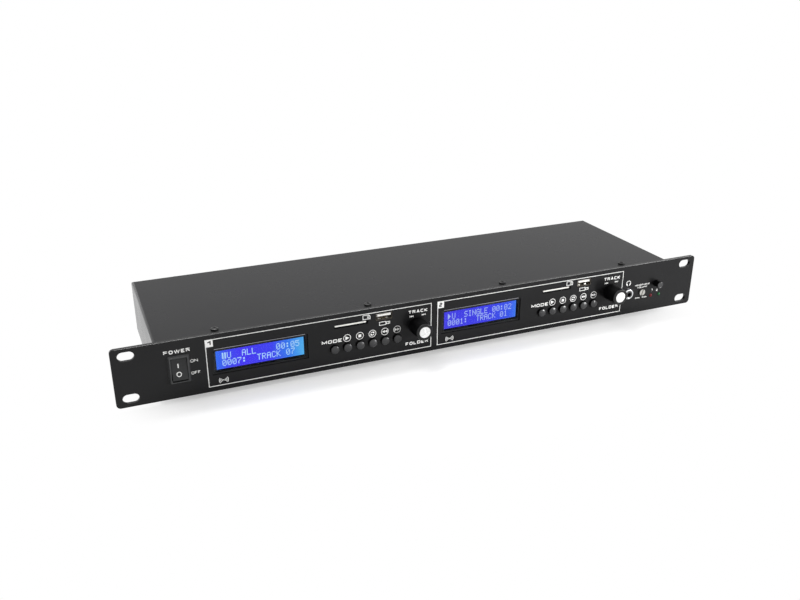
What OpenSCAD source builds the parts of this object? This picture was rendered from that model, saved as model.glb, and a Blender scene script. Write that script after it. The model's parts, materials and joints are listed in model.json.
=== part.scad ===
// Dual media player, one rack unit high, for a 19 inch rack
// Millimetres. X runs to the right seen from the front, Y from the front to the rear, Z up.
// The origin lies on the floor under the middle of the overall box.

/* [Rack panel] */
// Width of the front panel
panel_w = 485.4; // [475:0.1:490]
// Height of the front panel
panel_h = 44; // [43:0.1:44.4]
// Thickness of the front panel
panel_t = 2.5; // [2:0.1:3.5]
// Corner radius of the front panel
panel_corner_r = 3; // [1:0.5:5]
// Spacing of the rack slots across the panel
rack_pitch_x = 465.1; // [460:0.1:466]
// Spacing of the rack slots up the panel
rack_pitch_z = 31.75; // [30:0.05:33]
// Width of a rack slot
rack_slot_w = 6.9; // [6:0.1:8]
// Length of a rack slot
rack_slot_l = 11.2; // [9:0.1:13]

/* [Enclosure] */
// Width of the folded cover
body_w = 428; // [424:1:440]
// Depth from the back of the panel to the outside of the cover's rear lip
body_d = 123.5; // [118:0.5:200]
// Height of the body without its feet
body_h = 43.2; // [42:0.1:43.6]
// Thickness of the steel sheet
sheet_t = 1; // [0.8:0.1:1.2]
// Outside radius of the sheet's bends
bend_r = 2; // [1.5:0.1:3]
// Gap between the cover and the tray's sides
cover_gap = 0.1; // [0.05:0.05:0.3]
// Depth of the tray's and the rear panel's flanges
flange_d = 12; // [10:0.5:16]
// Height of the tray's side edges
tray_side_h = 10; // [6:0.5:16]
// Height of the cover's rear lip
rear_lip_h = 7; // [6.5:0.1:8]
// Spacing of the four screws along the front of the cover
cover_screw_pitch = 114.2; // [100:0.1:120]
// Distance of those screws behind the panel
cover_screw_inset = 4.9; // [4:0.1:7]
// Spacing of the three screws in the rear lip
rear_screw_pitch = 180; // [150:1:195]
// Distance of those screws below the cover's top
rear_screw_drop = 3.7; // [3.6:0.1:4]

/* [Feet] */
// Height of a rubber foot
foot_h = 4; // [3:0.5:8]
// Radius of a foot where it meets the tray
foot_r = 7; // [6:0.5:9]
// Radius of a foot where it meets the floor
foot_tip_r = 6.2; // [5:0.1:8]
// Distance of the feet from the body's sides
foot_inset_x = 28; // [15:1:50]
// Distance of the feet from the panel and from the rear
foot_inset_y = 18; // [14:1:30]
// Thickness of the rubber under a foot's screw head
foot_floor = 1.4; // [1:0.1:1.8]

/* [Fasteners] */
// Radius of a machine screw's shank
screw_r = 1.45; // [1.2:0.05:1.5]
// Radius of a pan head
screw_head_r = 2.75; // [2.5:0.05:3]
// Height of a pan head
screw_head_h = 1.9; // [1.5:0.1:2.4]
// Length of a shank under the head
screw_l = 6; // [5:0.5:8]
// How far a board's screw reaches into its standoff
screw_bite = 3; // [2.5:0.5:4]
// How far a screw's end stands past the sheet that it is driven into
screw_end = 1; // [0.5:0.5:2]
// Length of the cross recess in a screw's head
recess_l = 3; // [2.6:0.1:3.4]
// Width of the cross recess
recess_w = 0.6; // [0.5:0.1:0.8]
// Depth of the cross recess
recess_d = 0.9; // [0.7:0.1:1.1]
// Gap between a shank and a threaded hole
thread_gap = 0.05; // [0.02:0.01:0.08]
// Gap between a shank and a plain hole
pass_gap = 0.25; // [0.1:0.05:0.4]
// Width of a nut across its flats
nut_flats = 5.5; // [5:0.1:6]
// Thickness of a nut
nut_t = 2.4; // [2:0.1:3]
// Length of the panel's welded studs
stud_l = 5; // [4:0.5:6]
// Height of the outer studs above and below the panel's middle
stud_z = 12.5; // [12:0.5:13]
// Height of the studs between the decks above and below the panel's middle
stud_mid_z = 9.4; // [8.6:0.1:10.2]
// Distance of the left studs outside deck 1's border line
stud_left = 6; // [5:0.5:8]
// Distance of the right studs short of a third deck's border line
stud_right = 2.4; // [1.5:0.1:3]
// Radius of a standoff
standoff_r = 2.4; // [2.2:0.1:2.6]

/* [Decks] */
// Place of deck 1's left border line from the panel's middle
deck_1_x = -180; // [-182:0.1:-178]
// Distance from deck 1 to deck 2
deck_pitch = 177; // [176:0.1:178]

/* [Display] */
// Middle of the window from the deck's left line
window_x = 38.55; // [38:0.05:40]
// Height of the window's middle
window_z = 0.25; // [-0.5:0.05:0.5]
// Width of the window
window_w = 69.9; // [67:0.1:70.5]
// Height of the window
window_h = 19.5; // [17:0.1:22]
// Thickness of the clear pane
pane_t = 1.5; // [1:0.1:2]
// Gap around the clear pane
pane_gap = 0.15; // [0.05:0.05:0.3]
// Gap behind the clear pane
pane_back = 0.05; // [0.02:0.01:0.1]
// Middle of the display module from the deck's left line
lcd_x = 39.2; // [38.5:0.05:40]
// Width of the display's viewing area
view_w = 64.5; // [62:0.1:66]
// Height of the display's viewing area
view_h = 15.6; // [14:0.1:17]
// Width of the display's metal bezel
bezel_w = 71.2; // [71:0.1:72]
// Height of the display's metal bezel
bezel_h = 25.2; // [24:0.1:26]
// Depth of the display's metal bezel
bezel_d = 7.2; // [6.5:0.1:8]
// Sheet thickness of the bezel
bezel_t = 0.6; // [0.4:0.1:0.8]
// Gap between the bezel and the tray's front wall
bezel_gap = 0.4; // [0.2:0.1:0.5]
// Corner radius of the bezel
bezel_corner_r = 1; // [0.7:0.1:1.5]
// Width of the display board
lcd_board_w = 80; // [79.5:0.1:81]
// Height of the display board
lcd_board_h = 36; // [35.8:0.1:37]
// Spacing of the display board's holes across it
lcd_hole_x = 75; // [74.8:0.1:75.4]
// Spacing of the display board's holes up it
lcd_hole_z = 31; // [30.8:0.1:31.4]
// Thickness of every circuit board
board_t = 1.6; // [1.2:0.1:2]

/* [Buttons] */
// First button from the deck's left line
button_x = 93.5; // [92:0.1:95]
// Distance between buttons
button_pitch = 10; // [9.6:0.1:10.2]
// Height of the button row
button_z = -6; // [-8:0.1:-5]
// Radius of a button
button_r = 3.15; // [2.8:0.05:3.4]
// Gap between a button and its hole
button_gap = 0.4; // [0.2:0.05:0.5]
// How far a button stands out of the panel
button_out = 1.8; // [1.2:0.1:2.5]
// Rise of a button's domed front
button_dome = 0.4; // [0.2:0.05:0.6]
// Travel of a button
button_travel = 0.5; // [0.3:0.05:0.6]
// Width of a button's collar beyond its cap
collar_w = 1.1; // [1:0.1:1.3]
// Thickness of a button's collar
collar_t = 1; // [0.8:0.1:1.2]
// Radius of a button's stem
stem_r = 1.6; // [1.4:0.05:1.8]
// Gap around the stem in its key switch
stem_gap = 0.08; // [0.05:0.01:0.1]
// How far a stem reaches into its key switch
stem_depth = 0.7; // [0.5:0.1:1]
// Width of a key switch
key_w = 6; // [5.8:0.1:6.2]
// Depth of a key switch
key_d = 3.5; // [3.2:0.1:4]

/* [Encoder] */
// Encoder axis from the deck's left line
knob_x = 160.4; // [159:0.1:161]
// Height of the encoder axis
knob_z = 1.5; // [0.5:0.1:1.8]
// Radius of the knob at the panel
knob_r = 7; // [6.5:0.05:7.5]
// Radius of the knob at its front
knob_tip_r = 6.8; // [6.2:0.05:7]
// How far the knob stands out of the panel
knob_out = 14; // [12:0.5:16]
// Gap between the knob and the panel
knob_gap = 0.9; // [0.8:0.1:1.5]
// Radius of the bright disc on the knob
disc_r = 4.75; // [4.2:0.05:5.2]
// Thickness of the bright disc
disc_t = 0.8; // [0.6:0.1:1.2]
// Radius of the encoder's shaft
shaft_r = 3; // [2.8:0.05:3.1]
// Flat cut off the shaft's radius
shaft_flat = 1.5; // [1:0.1:1.6]
// Running gap around the shaft
shaft_gap = 0.05; // [0.03:0.01:0.08]
// Radius of the encoder's bushing
bushing_r = 3.5; // [3.4:0.05:3.7]
// How far the bushing stands out of the panel
bushing_out = 3; // [2:0.1:4]
// Gap between the bushing and the panel
bushing_gap = 0.2; // [0.1:0.05:0.3]
// Width of the encoder's body
encoder_w = 11.7; // [11.5:0.1:12]
// Height of the encoder's body
encoder_h = 12; // [11.5:0.1:12.1]
// Push travel of the encoder
encoder_push = 0.5; // [0.3:0.1:0.6]
// Gap between the tray's wall and the encoder's body
encoder_gap = 0.5; // [0.4:0.1:0.6]
// Wall of the encoder's body in front of its rotor
encoder_wall = 1.2; // [1:0.1:1.4]
// Wall of the encoder's body behind its shaft
encoder_floor = 0.3; // [0.2:0.1:0.4]
// Radius of the encoder's rotor
rotor_r = 4.8; // [4.4:0.1:5]
// Thickness of the encoder's rotor
rotor_t = 2.4; // [2:0.1:2.6]
// Bevel around the knob's front
knob_bevel = 0.4; // [0.2:0.1:0.6]
// Wall of the knob between its disc and its shaft
knob_web = 1; // [0.8:0.1:1.5]
// Gap around the bushing inside the knob
knob_room = 0.8; // [0.6:0.1:1.2]
// Gap around the shaft and the disc in the knob
press_gap = 0.02; // [0.01:0.01:0.05]

/* [Sockets] */
// Middle of the USB socket from the deck's left line
usb_x = 133; // [132:0.1:134]
// Height of the USB socket's middle
usb_z = 13.9; // [13.6:0.1:14.2]
// Outside width of the USB shell
usb_w = 13.1; // [13:0.1:13.4]
// Outside height of the USB shell
usb_h = 5.7; // [5.6:0.1:5.9]
// Sheet thickness of the USB shell
usb_t = 0.3; // [0.25:0.05:0.4]
// Length of the USB shell
usb_l = 14.2; // [13:0.1:16]
// Gap between the USB shell and the panel
usb_gap = 0.25; // [0.1:0.05:0.3]
// How far the USB shell's mouth lies behind the panel's front
usb_inset = 1.5; // [0.1:0.1:2]
// How far the USB tongue's front lies behind the shell's mouth
tongue_inset = 0.9; // [0.6:0.1:1.4]
// Height of the USB tongue above the shell's middle
tongue_rise = 1; // [0.9:0.1:1.2]
// Depth of the insulator's block inside the shell's rear
usb_block_d = 4; // [3:0.5:5]
// Thickness of the insulator's wall behind the shell
usb_wall = 1.2; // [1:0.1:1.6]
// Width of the USB tongue
tongue_w = 11.1; // [10.8:0.1:11.3]
// Thickness of the USB tongue
tongue_t = 1.84; // [1.7:0.02:2]
// Middle of the card slot from the deck's left line
card_x = 107; // [106:0.1:108]
// Height of the card slot's middle
card_z = 11.4; // [11.2:0.1:12]
// Width of the card slot
card_w = 26.5; // [25:0.1:27]
// Height of the card slot
card_h = 2.6; // [2.4:0.1:2.8]
// Depth of the card socket
card_d = 28; // [26:0.5:34]
// Wall of the card socket at its sides
card_wall = 1.2; // [1:0.1:1.5]
// Floor and roof of the card socket
card_floor = 0.5; // [0.4:0.05:0.6]
// Wall of the card socket at its rear
card_back = 1.5; // [1:0.1:2]
// Gap between the panel and the card socket
card_gap = 0.1; // [0.05:0.05:0.3]

/* [Power switch] */
// Middle of the power switch
switch_x = -198.8; // [-200:0.1:-198]
// Height of the power switch
switch_z = 0.1; // [-1:0.1:1]
// Width of the switch's bezel
switch_w = 15; // [14.6:0.1:16]
// Height of the switch's bezel
switch_h = 21; // [20.6:0.1:22]
// How far the bezel stands out of the panel
switch_out = 2; // [1.5:0.1:2.5]
// Width of the housing behind the bezel
switch_body_w = 13; // [12.9:0.1:13.4]
// Height of the housing behind the bezel
switch_body_h = 19; // [18.9:0.1:19.6]
// Gap between the housing and its cut-out
switch_gap = 0.2; // [0.1:0.05:0.3]
// Depth of the housing behind the panel's front
switch_d = 14; // [12:0.5:18]
// Width of the rocker
rocker_w = 10.4; // [10:0.1:10.6]
// Height of the rocker
rocker_h = 15.4; // [15:0.1:15.6]
// Angle the rocker swings from on to off
rocker_swing = 18; // [14:1:20]
// Distance of the rocker's face from its pivot
rocker_arm = 4; // [3.6:0.1:4.2]
// Radius of the rocker's pivot pins
pivot_r = 1; // [0.8:0.05:1.2]
// Running gap around the pivot pins
pivot_gap = 0.05; // [0.03:0.01:0.08]
// Gap around the rocker in its housing
rocker_gap = 0.3; // [0.25:0.05:0.4]
// How far the rocker's pressed half lies behind the bezel's front
rocker_sink = 0.5; // [0.3:0.1:0.8]
// How far the rocker's skirt ends in front of its pivot
rocker_skirt = 2; // [1.5:0.1:2.5]
// How far the rocker's back lies behind its pivot
rocker_back = 1.5; // [1.3:0.1:1.8]
// How far the rocker's keel reaches behind its pivot
rocker_keel = 3.2; // [2.8:0.1:3.6]
// Corner radius of the switch's bezel
switch_corner_r = 1; // [0.6:0.1:2]
// Wall of the housing outside the pivot pins
pivot_wall = 0.2; // [0.2:0.05:0.4]
// Distance between the two terminals
terminal_pitch = 10; // [8:0.5:12]
// Width of a terminal
terminal_w = 4.8; // [4.4:0.1:6.3]
// Thickness of a terminal
terminal_t = 0.8; // [0.5:0.1:1]
// Length of a terminal
terminal_l = 8; // [6:0.5:9]
// Radius of the hole in a terminal
terminal_hole_r = 0.8; // [0.6:0.1:1]

/* [Headphones] */
// Place of the headphone jack
jack_x = 175.5; // [175:0.1:176.5]
// Height of the headphone jack
jack_z = -3.3; // [-4:0.1:-2.5]
// Radius of the jack's bore
jack_bore_r = 1.8; // [1.76:0.02:2]
// Radius of the jack's threaded barrel
jack_barrel_r = 3; // [2.8:0.1:3.2]
// Radius of the bright ring nut
jack_nut_r = 4.5; // [4.2:0.1:5]
// Thickness of the ring nut
jack_nut_t = 2; // [1.5:0.1:2.4]
// Depth of the jack's bore
jack_bore_l = 14; // [13:0.5:15]
// Place of the level control
volume_x = 189.8; // [189:0.1:190.5]
// Height of the level control
volume_z = -3.8; // [-4.5:0.1:-3]
// Radius of the level control's shaft
volume_r = 2.75; // [2.5:0.05:3]
// How far the level shaft stands out of the panel
volume_out = 1.4; // [0.8:0.1:3]
// Width of the slot in the level shaft
volume_slot_w = 1; // [0.8:0.1:1.2]
// Place of the source button
select_x = 204.2; // [203.5:0.1:205]
// Height of the source button
select_z = 2.3; // [1.8:0.1:3]
// Radius of the source button
select_r = 2.8; // [2.5:0.05:3]
// How far the source button stands out of the panel
select_out = 6.3; // [5:0.1:7]
// Travel of the source button
select_travel = 2; // [1:0.1:2.4]
// Distance of the two lamps from each other
led_pitch = 8.5; // [8:0.1:9]
// Height of the two lamps
led_z = -8.4; // [-9:0.1:-8]
// Radius of a lamp
led_r = 1.5; // [1.4:0.05:1.6]
// How far a lamp's dome stands out of the panel
led_out = 1; // [0.6:0.1:1.5]
// Gap around a lamp or the source button in the panel
hole_gap = 0.2; // [0.1:0.05:0.3]
// How far the jack's barrel stands out of its nut
jack_proud = 0.2; // [0.1:0.1:0.4]
// Bevel around the ring nut's front
jack_bevel = 0.5; // [0.3:0.1:0.8]
// Width of the jack's body
jack_body_w = 9; // [8:0.1:9.4]
// Height of the jack's body
jack_body_h = 10; // [9:0.1:10.5]
// Width of the level control's body
volume_body_w = 9.6; // [9:0.1:10]
// Distance of the level control's body behind the tray's wall
volume_back = 3; // [2:0.1:4]
// Wall of the level control's body behind its shaft
volume_floor = 1.6; // [1:0.1:2]
// Depth of the slot in the level shaft
volume_slot_d = 1.2; // [0.8:0.1:1.6]
// Angle of that slot from upright
volume_slot_angle = 15; // [-45:5:45]
// Width of the source switch's body
select_body_w = 8.4; // [8:0.1:9]
// Distance of the source switch's body behind the tray's wall
select_back = 3.5; // [3:0.1:4]
// How far the source button's stem reaches into its switch
select_stem_l = 2; // [1.5:0.1:2.5]
// Bevel around the source button's front
select_bevel = 0.4; // [0.2:0.1:0.6]
// Width of a lamp's flange beyond its dome
led_flange_w = 0.45; // [0.3:0.05:0.6]
// Thickness of a lamp's flange
led_flange_t = 1; // [0.8:0.1:1.2]
// Gap between the tray's wall and a lamp's flange
led_gap = 0.1; // [0.05:0.05:0.3]
// Radius of a lamp's leads
lead_r = 0.25; // [0.2:0.05:0.35]
// Distance of a lamp's leads from its axis
lead_x = 0.9; // [0.7:0.1:1.2]

/* [Rear] */
// Place of the mains inlet
inlet_x = -160; // [-175:1:-140]
// Width of the inlet's flange
inlet_w = 50; // [48:0.5:52]
// Height of the inlet's flange
inlet_h = 27; // [25:0.5:30]
// Thickness of the inlet's flange
inlet_t = 3; // [2:0.1:4]
// Width of the inlet's body
inlet_body_w = 27; // [26.6:0.1:28]
// Height of the inlet's body
inlet_body_h = 19.8; // [19.4:0.1:21]
// Spacing of the inlet's screws
inlet_screw_pitch = 40; // [39:0.1:41]
// Width of the inlet's opening
inlet_open_w = 24.4; // [24:0.1:25]
// Height of the inlet's opening
inlet_open_h = 16.6; // [16:0.1:17]
// Depth of the inlet's opening
inlet_open_d = 17; // [16:0.5:18]
// Length of the inlet's pins inside the opening
inlet_pin_l = 16; // [14:0.5:16.5]
// Height of the inlet above the panel's middle
inlet_z = -3; // [-4:0.5:-2]
// Wall of the inlet behind its opening
inlet_floor = 2; // [1.5:0.5:4]
// Corner radius of the inlet's flange
inlet_corner_r = 4; // [2:0.5:6]
// Cut of the inlet's two upper corners
inlet_cut = 4.5; // [4:0.1:5]
// Distance of the inlet's outer pins from its middle
inlet_pin_x = 7; // [6.8:0.1:7.2]
// Height of the inlet's pins above and below its middle
inlet_pin_z = 2; // [1.8:0.1:2.2]
// Width of an inlet pin
inlet_pin_w = 2; // [1.8:0.1:2.2]
// Height of an inlet pin
inlet_pin_h = 4; // [3.8:0.1:4.2]
// Middle of the first pair of output jacks
output_x = 70; // [60:1:80]
// Distance between the two pairs
output_pitch = 50; // [46:1:60]
// Distance between the two jacks of a pair
phono_pitch = 19; // [17:0.5:22]
// Radius of a phono jack's shell
phono_r = 4.15; // [4.1:0.05:4.2]
// Wall of a phono jack's shell
phono_t = 0.75; // [0.6:0.05:0.9]
// How far a phono jack stands out of the rear
phono_out = 9; // [8:0.5:10]
// Radius of a phono jack's centre bore
phono_bore_r = 1.65; // [1.6:0.02:1.75]
// Depth of a phono jack's centre bore
phono_bore_l = 9; // [8:0.5:9.5]
// How far a phono jack's insert lies behind its shell's end
insert_sink = 0.8; // [0.4:0.1:1.5]
// Height of the output jacks above the panel's middle
output_z = -3; // [-4:0.5:-2]
// Width of an output jack's body beyond its two jacks
output_body_side = 15; // [12:0.5:18]
// Height of an output jack's body
output_body_h = 16; // [12:0.5:20]
// Depth of an output jack's body
output_body_d = 10; // [8:0.5:14]

/* [Boards] */
// Front of the key boards behind the panel's front
key_board_y = 10.5; // [10.3:0.1:11.5]
// Front of the phones board behind the panel's front
phones_board_y = 14; // [13.5:0.5:16]
// Depth of the media boards
media_board_d = 58; // [48:1:80]
// Width of the power board
power_board_w = 84; // [70:1:88]
// Depth of the power board
power_board_d = 54; // [48:1:56]
// Height of the standoffs under the power board
power_standoff_h = 6; // [4:0.5:8]
// Distance of a board's holes from its edges
hole_inset = 3.5; // [3.2:0.1:4]
// Gap between the tray's wall and the media boards
media_gap = 0.7; // [0.5:0.1:1]
// Distance of the media boards' front holes from their front edge
media_hole_y = 16; // [14:0.5:20]
// Gap between a media board and the key board under it
board_gap = 0.4; // [0.3:0.1:0.6]
// Gap between a key board and its other neighbours
edge_gap = 2; // [1.6:0.1:2.4]
// Edges of the phones board beyond the jack, the source switch, the lamps and the source switch's top
phones_margin = [0.8, 2.4, 7.8, 3.3]; // [0:0.1:10]
// Shift of the phones board's two lower holes from the jack and from the source switch
phones_hole_shift = [2.5, -1.5]; // [-4:0.1:4]
// Distance of the power board from the body's side
power_side = 10; // [8:0.5:20]
// Distance of the power board behind the panel's front
power_front = 32; // [30:0.5:36]
// Width, depth and height of the transformer's core
core_size = [30, 12, 24]; // [10:0.5:32]
// Width, depth and height of the transformer's winding
winding_size = [20, 22, 15]; // [10:0.5:24]
// Radius of a mains wire
wire_r = 1.1; // [0.8:0.1:1.3]
// Thickness of a flat cable
ribbon_t = 0.9; // [0.6:0.1:1.2]
// Width of a key board's flat cable
key_ribbon_w = 20; // [12:1:24]
// Width of a display's flat cable
lcd_ribbon_w = 8; // [6:0.5:8.5]
// How far a key board's flat cable stands off the board
key_ribbon_out = 8; // [6:0.5:10]
// How far a display's flat cable stands off the board
lcd_ribbon_out = 3.2; // [3:0.1:3.4]
// How far a key board's flat cable starts under the media board
key_ribbon_drop = 14; // [10:0.5:16]
// How far a mains wire runs over the power board
wire_run = 8; // [6:0.5:9]

/* [Hidden] */
$fn = 48;
// Cutters reach this far past the face they leave
cut = 1;
// Free gap kept between pieces that only sit near each other
clear = 0.3;
// Openings of the tray's wall are this much larger than the panel's on each side
wall_grow = 0.25;
// Solids of one piece run this far into each other
join = 0.2;

// Main planes
overall_d = knob_out + panel_t + body_d + phono_out;
front_y = knob_out - overall_d / 2;
panel_back_y = front_y + panel_t;
rear_y = panel_back_y + body_d;
rear_wall_y = rear_y - sheet_t;
panel_mid_z = foot_h + body_h / 2;
body_top_z = foot_h + body_h;
tray_top_z = body_top_z - sheet_t;
tray_floor_z = foot_h + sheet_t;
tray_w = body_w - 2 * sheet_t - 2 * cover_gap;
wall_back = panel_t + sheet_t;
thread_r = screw_r + thread_gap;
pass_r = screw_r + pass_gap;

// Places that follow from the sizes above
deck_xs = [deck_1_x, deck_1_x + deck_pitch];
stud_xs = [deck_1_x - stud_left,
  deck_1_x + (knob_x + encoder_w / 2 + deck_pitch + lcd_x - bezel_w / 2) / 2,
  deck_1_x + 2 * deck_pitch - stud_right];
stud_places = [for (s = [-1, 1]) each [
  [stud_xs[0], s * stud_z],
  [stud_xs[1], s * stud_mid_z],
  [stud_xs[2], s * stud_z]]];
cover_screw_xs = [for (i = [-1.5:1.5]) i * cover_screw_pitch];
cover_screw_y = panel_back_y + cover_screw_inset;
rear_screw_xs = [for (i = [-1:1]) i * rear_screw_pitch];
rear_screw_z = body_top_z - rear_screw_drop;
rear_foot_screw_xs = rear_screw_xs / 2;
foot_xs = [-body_w / 2 + foot_inset_x, body_w / 2 - foot_inset_x];
foot_ys = [panel_back_y + foot_inset_y, rear_y - foot_inset_y];

// Display stack, measured from the panel's front
bezel_y = panel_t;
lcd_board_y = bezel_y + bezel_d;
pane_y = panel_t - pane_t;

// Button stack, measured from the panel's front
button_hole_r = button_r + button_gap;
collar_y = wall_back + clear;
stem_y = collar_y + collar_t;
key_y = key_board_y - key_d;
stem_end_y = key_y + stem_depth;
stem_hole_end_y = stem_end_y + button_travel + clear;

// Encoder stack, measured from the panel's front
encoder_y = wall_back + encoder_gap;
encoder_back_y = key_board_y;
rotor_y = encoder_y + encoder_wall;
shaft_end_y = encoder_back_y - encoder_floor - clear - encoder_push;
shaft_front_y = -knob_out + disc_t + knob_web;

// Boards
media_board_top = card_z - card_h / 2 - card_floor;
media_board_z = media_board_top - board_t;
media_board_y = wall_back + media_gap;
media_xs = [card_x - card_w / 2 - card_wall - 2 * hole_inset, usb_x + usb_w / 2 + 2 * hole_inset];
key_board_top = media_board_z - board_gap;
key_board_bottom = -body_h / 2 + sheet_t + edge_gap;
key_board_xs = [lcd_x + lcd_board_w / 2 + edge_gap,
  knob_x + encoder_w / 2 + standoff_r + clear + hole_inset];
phones_xs = [jack_x - jack_body_w / 2 - phones_margin[0], select_x + select_body_w / 2 + phones_margin[1]];
phones_zs = [led_z - phones_margin[2], select_z + select_body_w / 2 + phones_margin[3]];
power_board_z = tray_floor_z + power_standoff_h;
power_board_x = -body_w / 2 + power_side + power_board_w / 2;
power_board_y = front_y + power_front;
power_board_top = power_board_z + board_t;

// Sockets
usb_bottom = usb_z - usb_h / 2;
usb_back_y = usb_inset + usb_l;
tongue_y = usb_inset + tongue_inset;
card_front_y = panel_t + card_gap;

// Power switch
switch_cavity_w = rocker_w + 2 * rocker_gap;
rocker_tip = rocker_arm + rocker_h / 2 * tan(rocker_swing / 2);
rocker_reach = rocker_h / 2 * cos(rocker_swing / 2) + rocker_tip * sin(rocker_swing / 2);
switch_cavity_h = 2 * (rocker_reach + rocker_gap);
rocker_face_y = -switch_out + rocker_sink;
pivot_y = rocker_face_y + rocker_arm * cos(rocker_swing / 2);
// Radius of the hollow that the rocker's face is cut to
rocker_face_r = (pow(rocker_h / 2, 2) + pow(rocker_tip - rocker_arm, 2)) / (2 * (rocker_tip - rocker_arm));
switch_cavity_y = pivot_y + rocker_keel + cut;
pivot_bore_l = switch_body_w - 2 * pivot_wall;

// Headphone group
jack_front_y = -jack_nut_t - jack_proud;
volume_body_y = wall_back + volume_back;
volume_end_y = phones_board_y - volume_floor;
select_body_y = wall_back + select_back;
select_cap_end_y = select_body_y - select_travel - clear;
led_xs = [select_x - led_pitch / 2, select_x + led_pitch / 2];
led_flange_y = wall_back + led_gap;

// Rear
inlet_back_y = rear_wall_y - inlet_open_d + inlet_t - inlet_floor;
inlet_pin_places = [[-inlet_pin_x, -inlet_pin_z], [inlet_pin_x, -inlet_pin_z], [0, inlet_pin_z]];
output_body_w = phono_pitch + output_body_side;
output_xs = [output_x, output_x + output_pitch];
insert_r = phono_r - phono_t - thread_gap;
rear_foot_screw_y = rear_wall_y - flange_d / 2;

// Colours
black_paint = [0.13, 0.13, 0.14];
black_plastic = [0.08, 0.08, 0.09];
steel = [0.72, 0.73, 0.75];
board_green = [0.1, 0.32, 0.18];
white_plastic = [0.93, 0.93, 0.9];

// Outlines

// Rectangle with round corners, centred
module rounded_rect(w, h, r) {
  square([w - 2 * r, h], center = true);
  square([w, h - 2 * r], center = true);
  for (sx = [-1, 1], sy = [-1, 1])
    translate([sx * (w / 2 - r), sy * (h / 2 - r)])
      circle(r);
}

// Slot with round ends, lying along X
module slot(l, w) {
  square([l - w, w], center = true);
  for (s = [-1, 1])
    translate([s * (l - w) / 2, 0])
      circle(w / 2);
}

// Round outline with one flat, as on an encoder's shaft
module flatted_circle(r, flat) {
  intersection() {
    circle(r);
    translate([-r, -r])
      square([2 * r, 2 * r - flat]);
  }
}

// Placing

// Box between two corners
module box(low, high) {
  translate(low)
    cube(high - low);
}

// Outline seen from the front, made solid between two depths behind the panel's front
module layer(y0, y1) {
  translate([0, front_y + y1, panel_mid_z])
    rotate([90, 0, 0])
      linear_extrude(y1 - y0)
        children();
}

// Axis into the object at a place on the panel, with Z pointing to the rear
module panel_axis(x, z, y = 0) {
  translate([x, front_y + y, panel_mid_z + z])
    rotate([-90, 0, 0])
      children();
}

// Axis out of the rear, with Z pointing away from the object
module rear_axis(x, z, y) {
  translate([x, y, panel_mid_z + z])
    rotate([-90, 0, 0])
      children();
}

// Section in Y and Z, made solid along X about the middle
module along_x(l) {
  rotate([90, 0, 90])
    linear_extrude(l, center = true)
      children();
}

// Section in X and Z, made solid along Y
module along_y(y0, y1) {
  translate([0, y1, 0])
    rotate([90, 0, 0])
      linear_extrude(y1 - y0)
        children();
}

// Fasteners

// Pan head screw with a cross recess, its head on Z = 0 and its shank below
module pan_screw(l = screw_l) {
  dome_r = 2.2 * screw_head_r;
  difference() {
    intersection() {
      cylinder(r = screw_head_r, h = screw_head_h);
      translate([0, 0, screw_head_h - dome_r])
        sphere(dome_r);
    }
    for (a = [0, 90])
      rotate(a)
        translate([-recess_l / 2, -recess_w / 2, screw_head_h - recess_d])
          cube([recess_l, recess_w, recess_d + cut]);
  }
  translate([0, 0, -l])
    cylinder(r = screw_r, h = l + join);
}

// Hexagon nut with its bore
module hex_nut() {
  difference() {
    cylinder(r = nut_flats / sqrt(3), h = nut_t, $fn = 6);
    translate([0, 0, -cut])
      cylinder(r = thread_r, h = nut_t + 2 * cut);
  }
}

// Standoff with a threaded bore
module standoff(l) {
  difference() {
    cylinder(r = standoff_r, h = l);
    translate([0, 0, l - screw_l])
      cylinder(r = thread_r, h = screw_l + cut);
  }
}

// Places of the holes in each board

function lcd_holes(d) = [for (sx = [-1, 1], sz = [-1, 1])
  [d + lcd_x + sx * lcd_hole_x / 2, sz * lcd_hole_z / 2]];

function key_holes(d) = [for (x = [key_board_xs[0] + hole_inset, key_board_xs[1] - hole_inset],
  z = [key_board_bottom + hole_inset, key_board_top - hole_inset]) [d + x, z]];

function media_holes(d) = [for (x = [media_xs[0] + hole_inset, media_xs[1] - hole_inset],
  y = [media_hole_y, media_board_d - hole_inset]) [d + x, front_y + media_board_y + y]];

function phones_holes() = [[volume_x, phones_zs[1] - hole_inset],
  [jack_x + phones_hole_shift[0], phones_zs[0] + hole_inset],
  [select_x + phones_hole_shift[1], phones_zs[0] + hole_inset]];

function power_holes() = [for (sx = [-1, 1], y = [hole_inset, power_board_d - hole_inset])
  [power_board_x + sx * (power_board_w / 2 - hole_inset), power_board_y + y]];

// Front panel

// Every opening of the panel outside the displays and rack slots, grown on all sides
module control_openings(grow) {
  for (d = deck_xs) {
    translate([d + usb_x, usb_z])
      rounded_rect(usb_w + 2 * (usb_gap + grow), usb_h + 2 * (usb_gap + grow), 2 * usb_t);
    for (i = [0:5])
      translate([d + button_x + i * button_pitch, button_z])
        circle(button_hole_r + grow);
    translate([d + knob_x, knob_z])
      circle(bushing_r + bushing_gap + grow);
  }
  translate([switch_x, switch_z])
    square([switch_body_w + 2 * (switch_gap + grow), switch_body_h + 2 * (switch_gap + grow)],
      center = true);
  translate([jack_x, jack_z])
    circle(jack_barrel_r + hole_gap + grow);
  translate([volume_x, volume_z])
    circle(volume_r + hole_gap + grow);
  translate([select_x, select_z])
    circle(select_r + hole_gap + grow);
  for (x = led_xs)
    translate([x, led_z])
      circle(led_r + hole_gap / 2 + grow);
}

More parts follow.
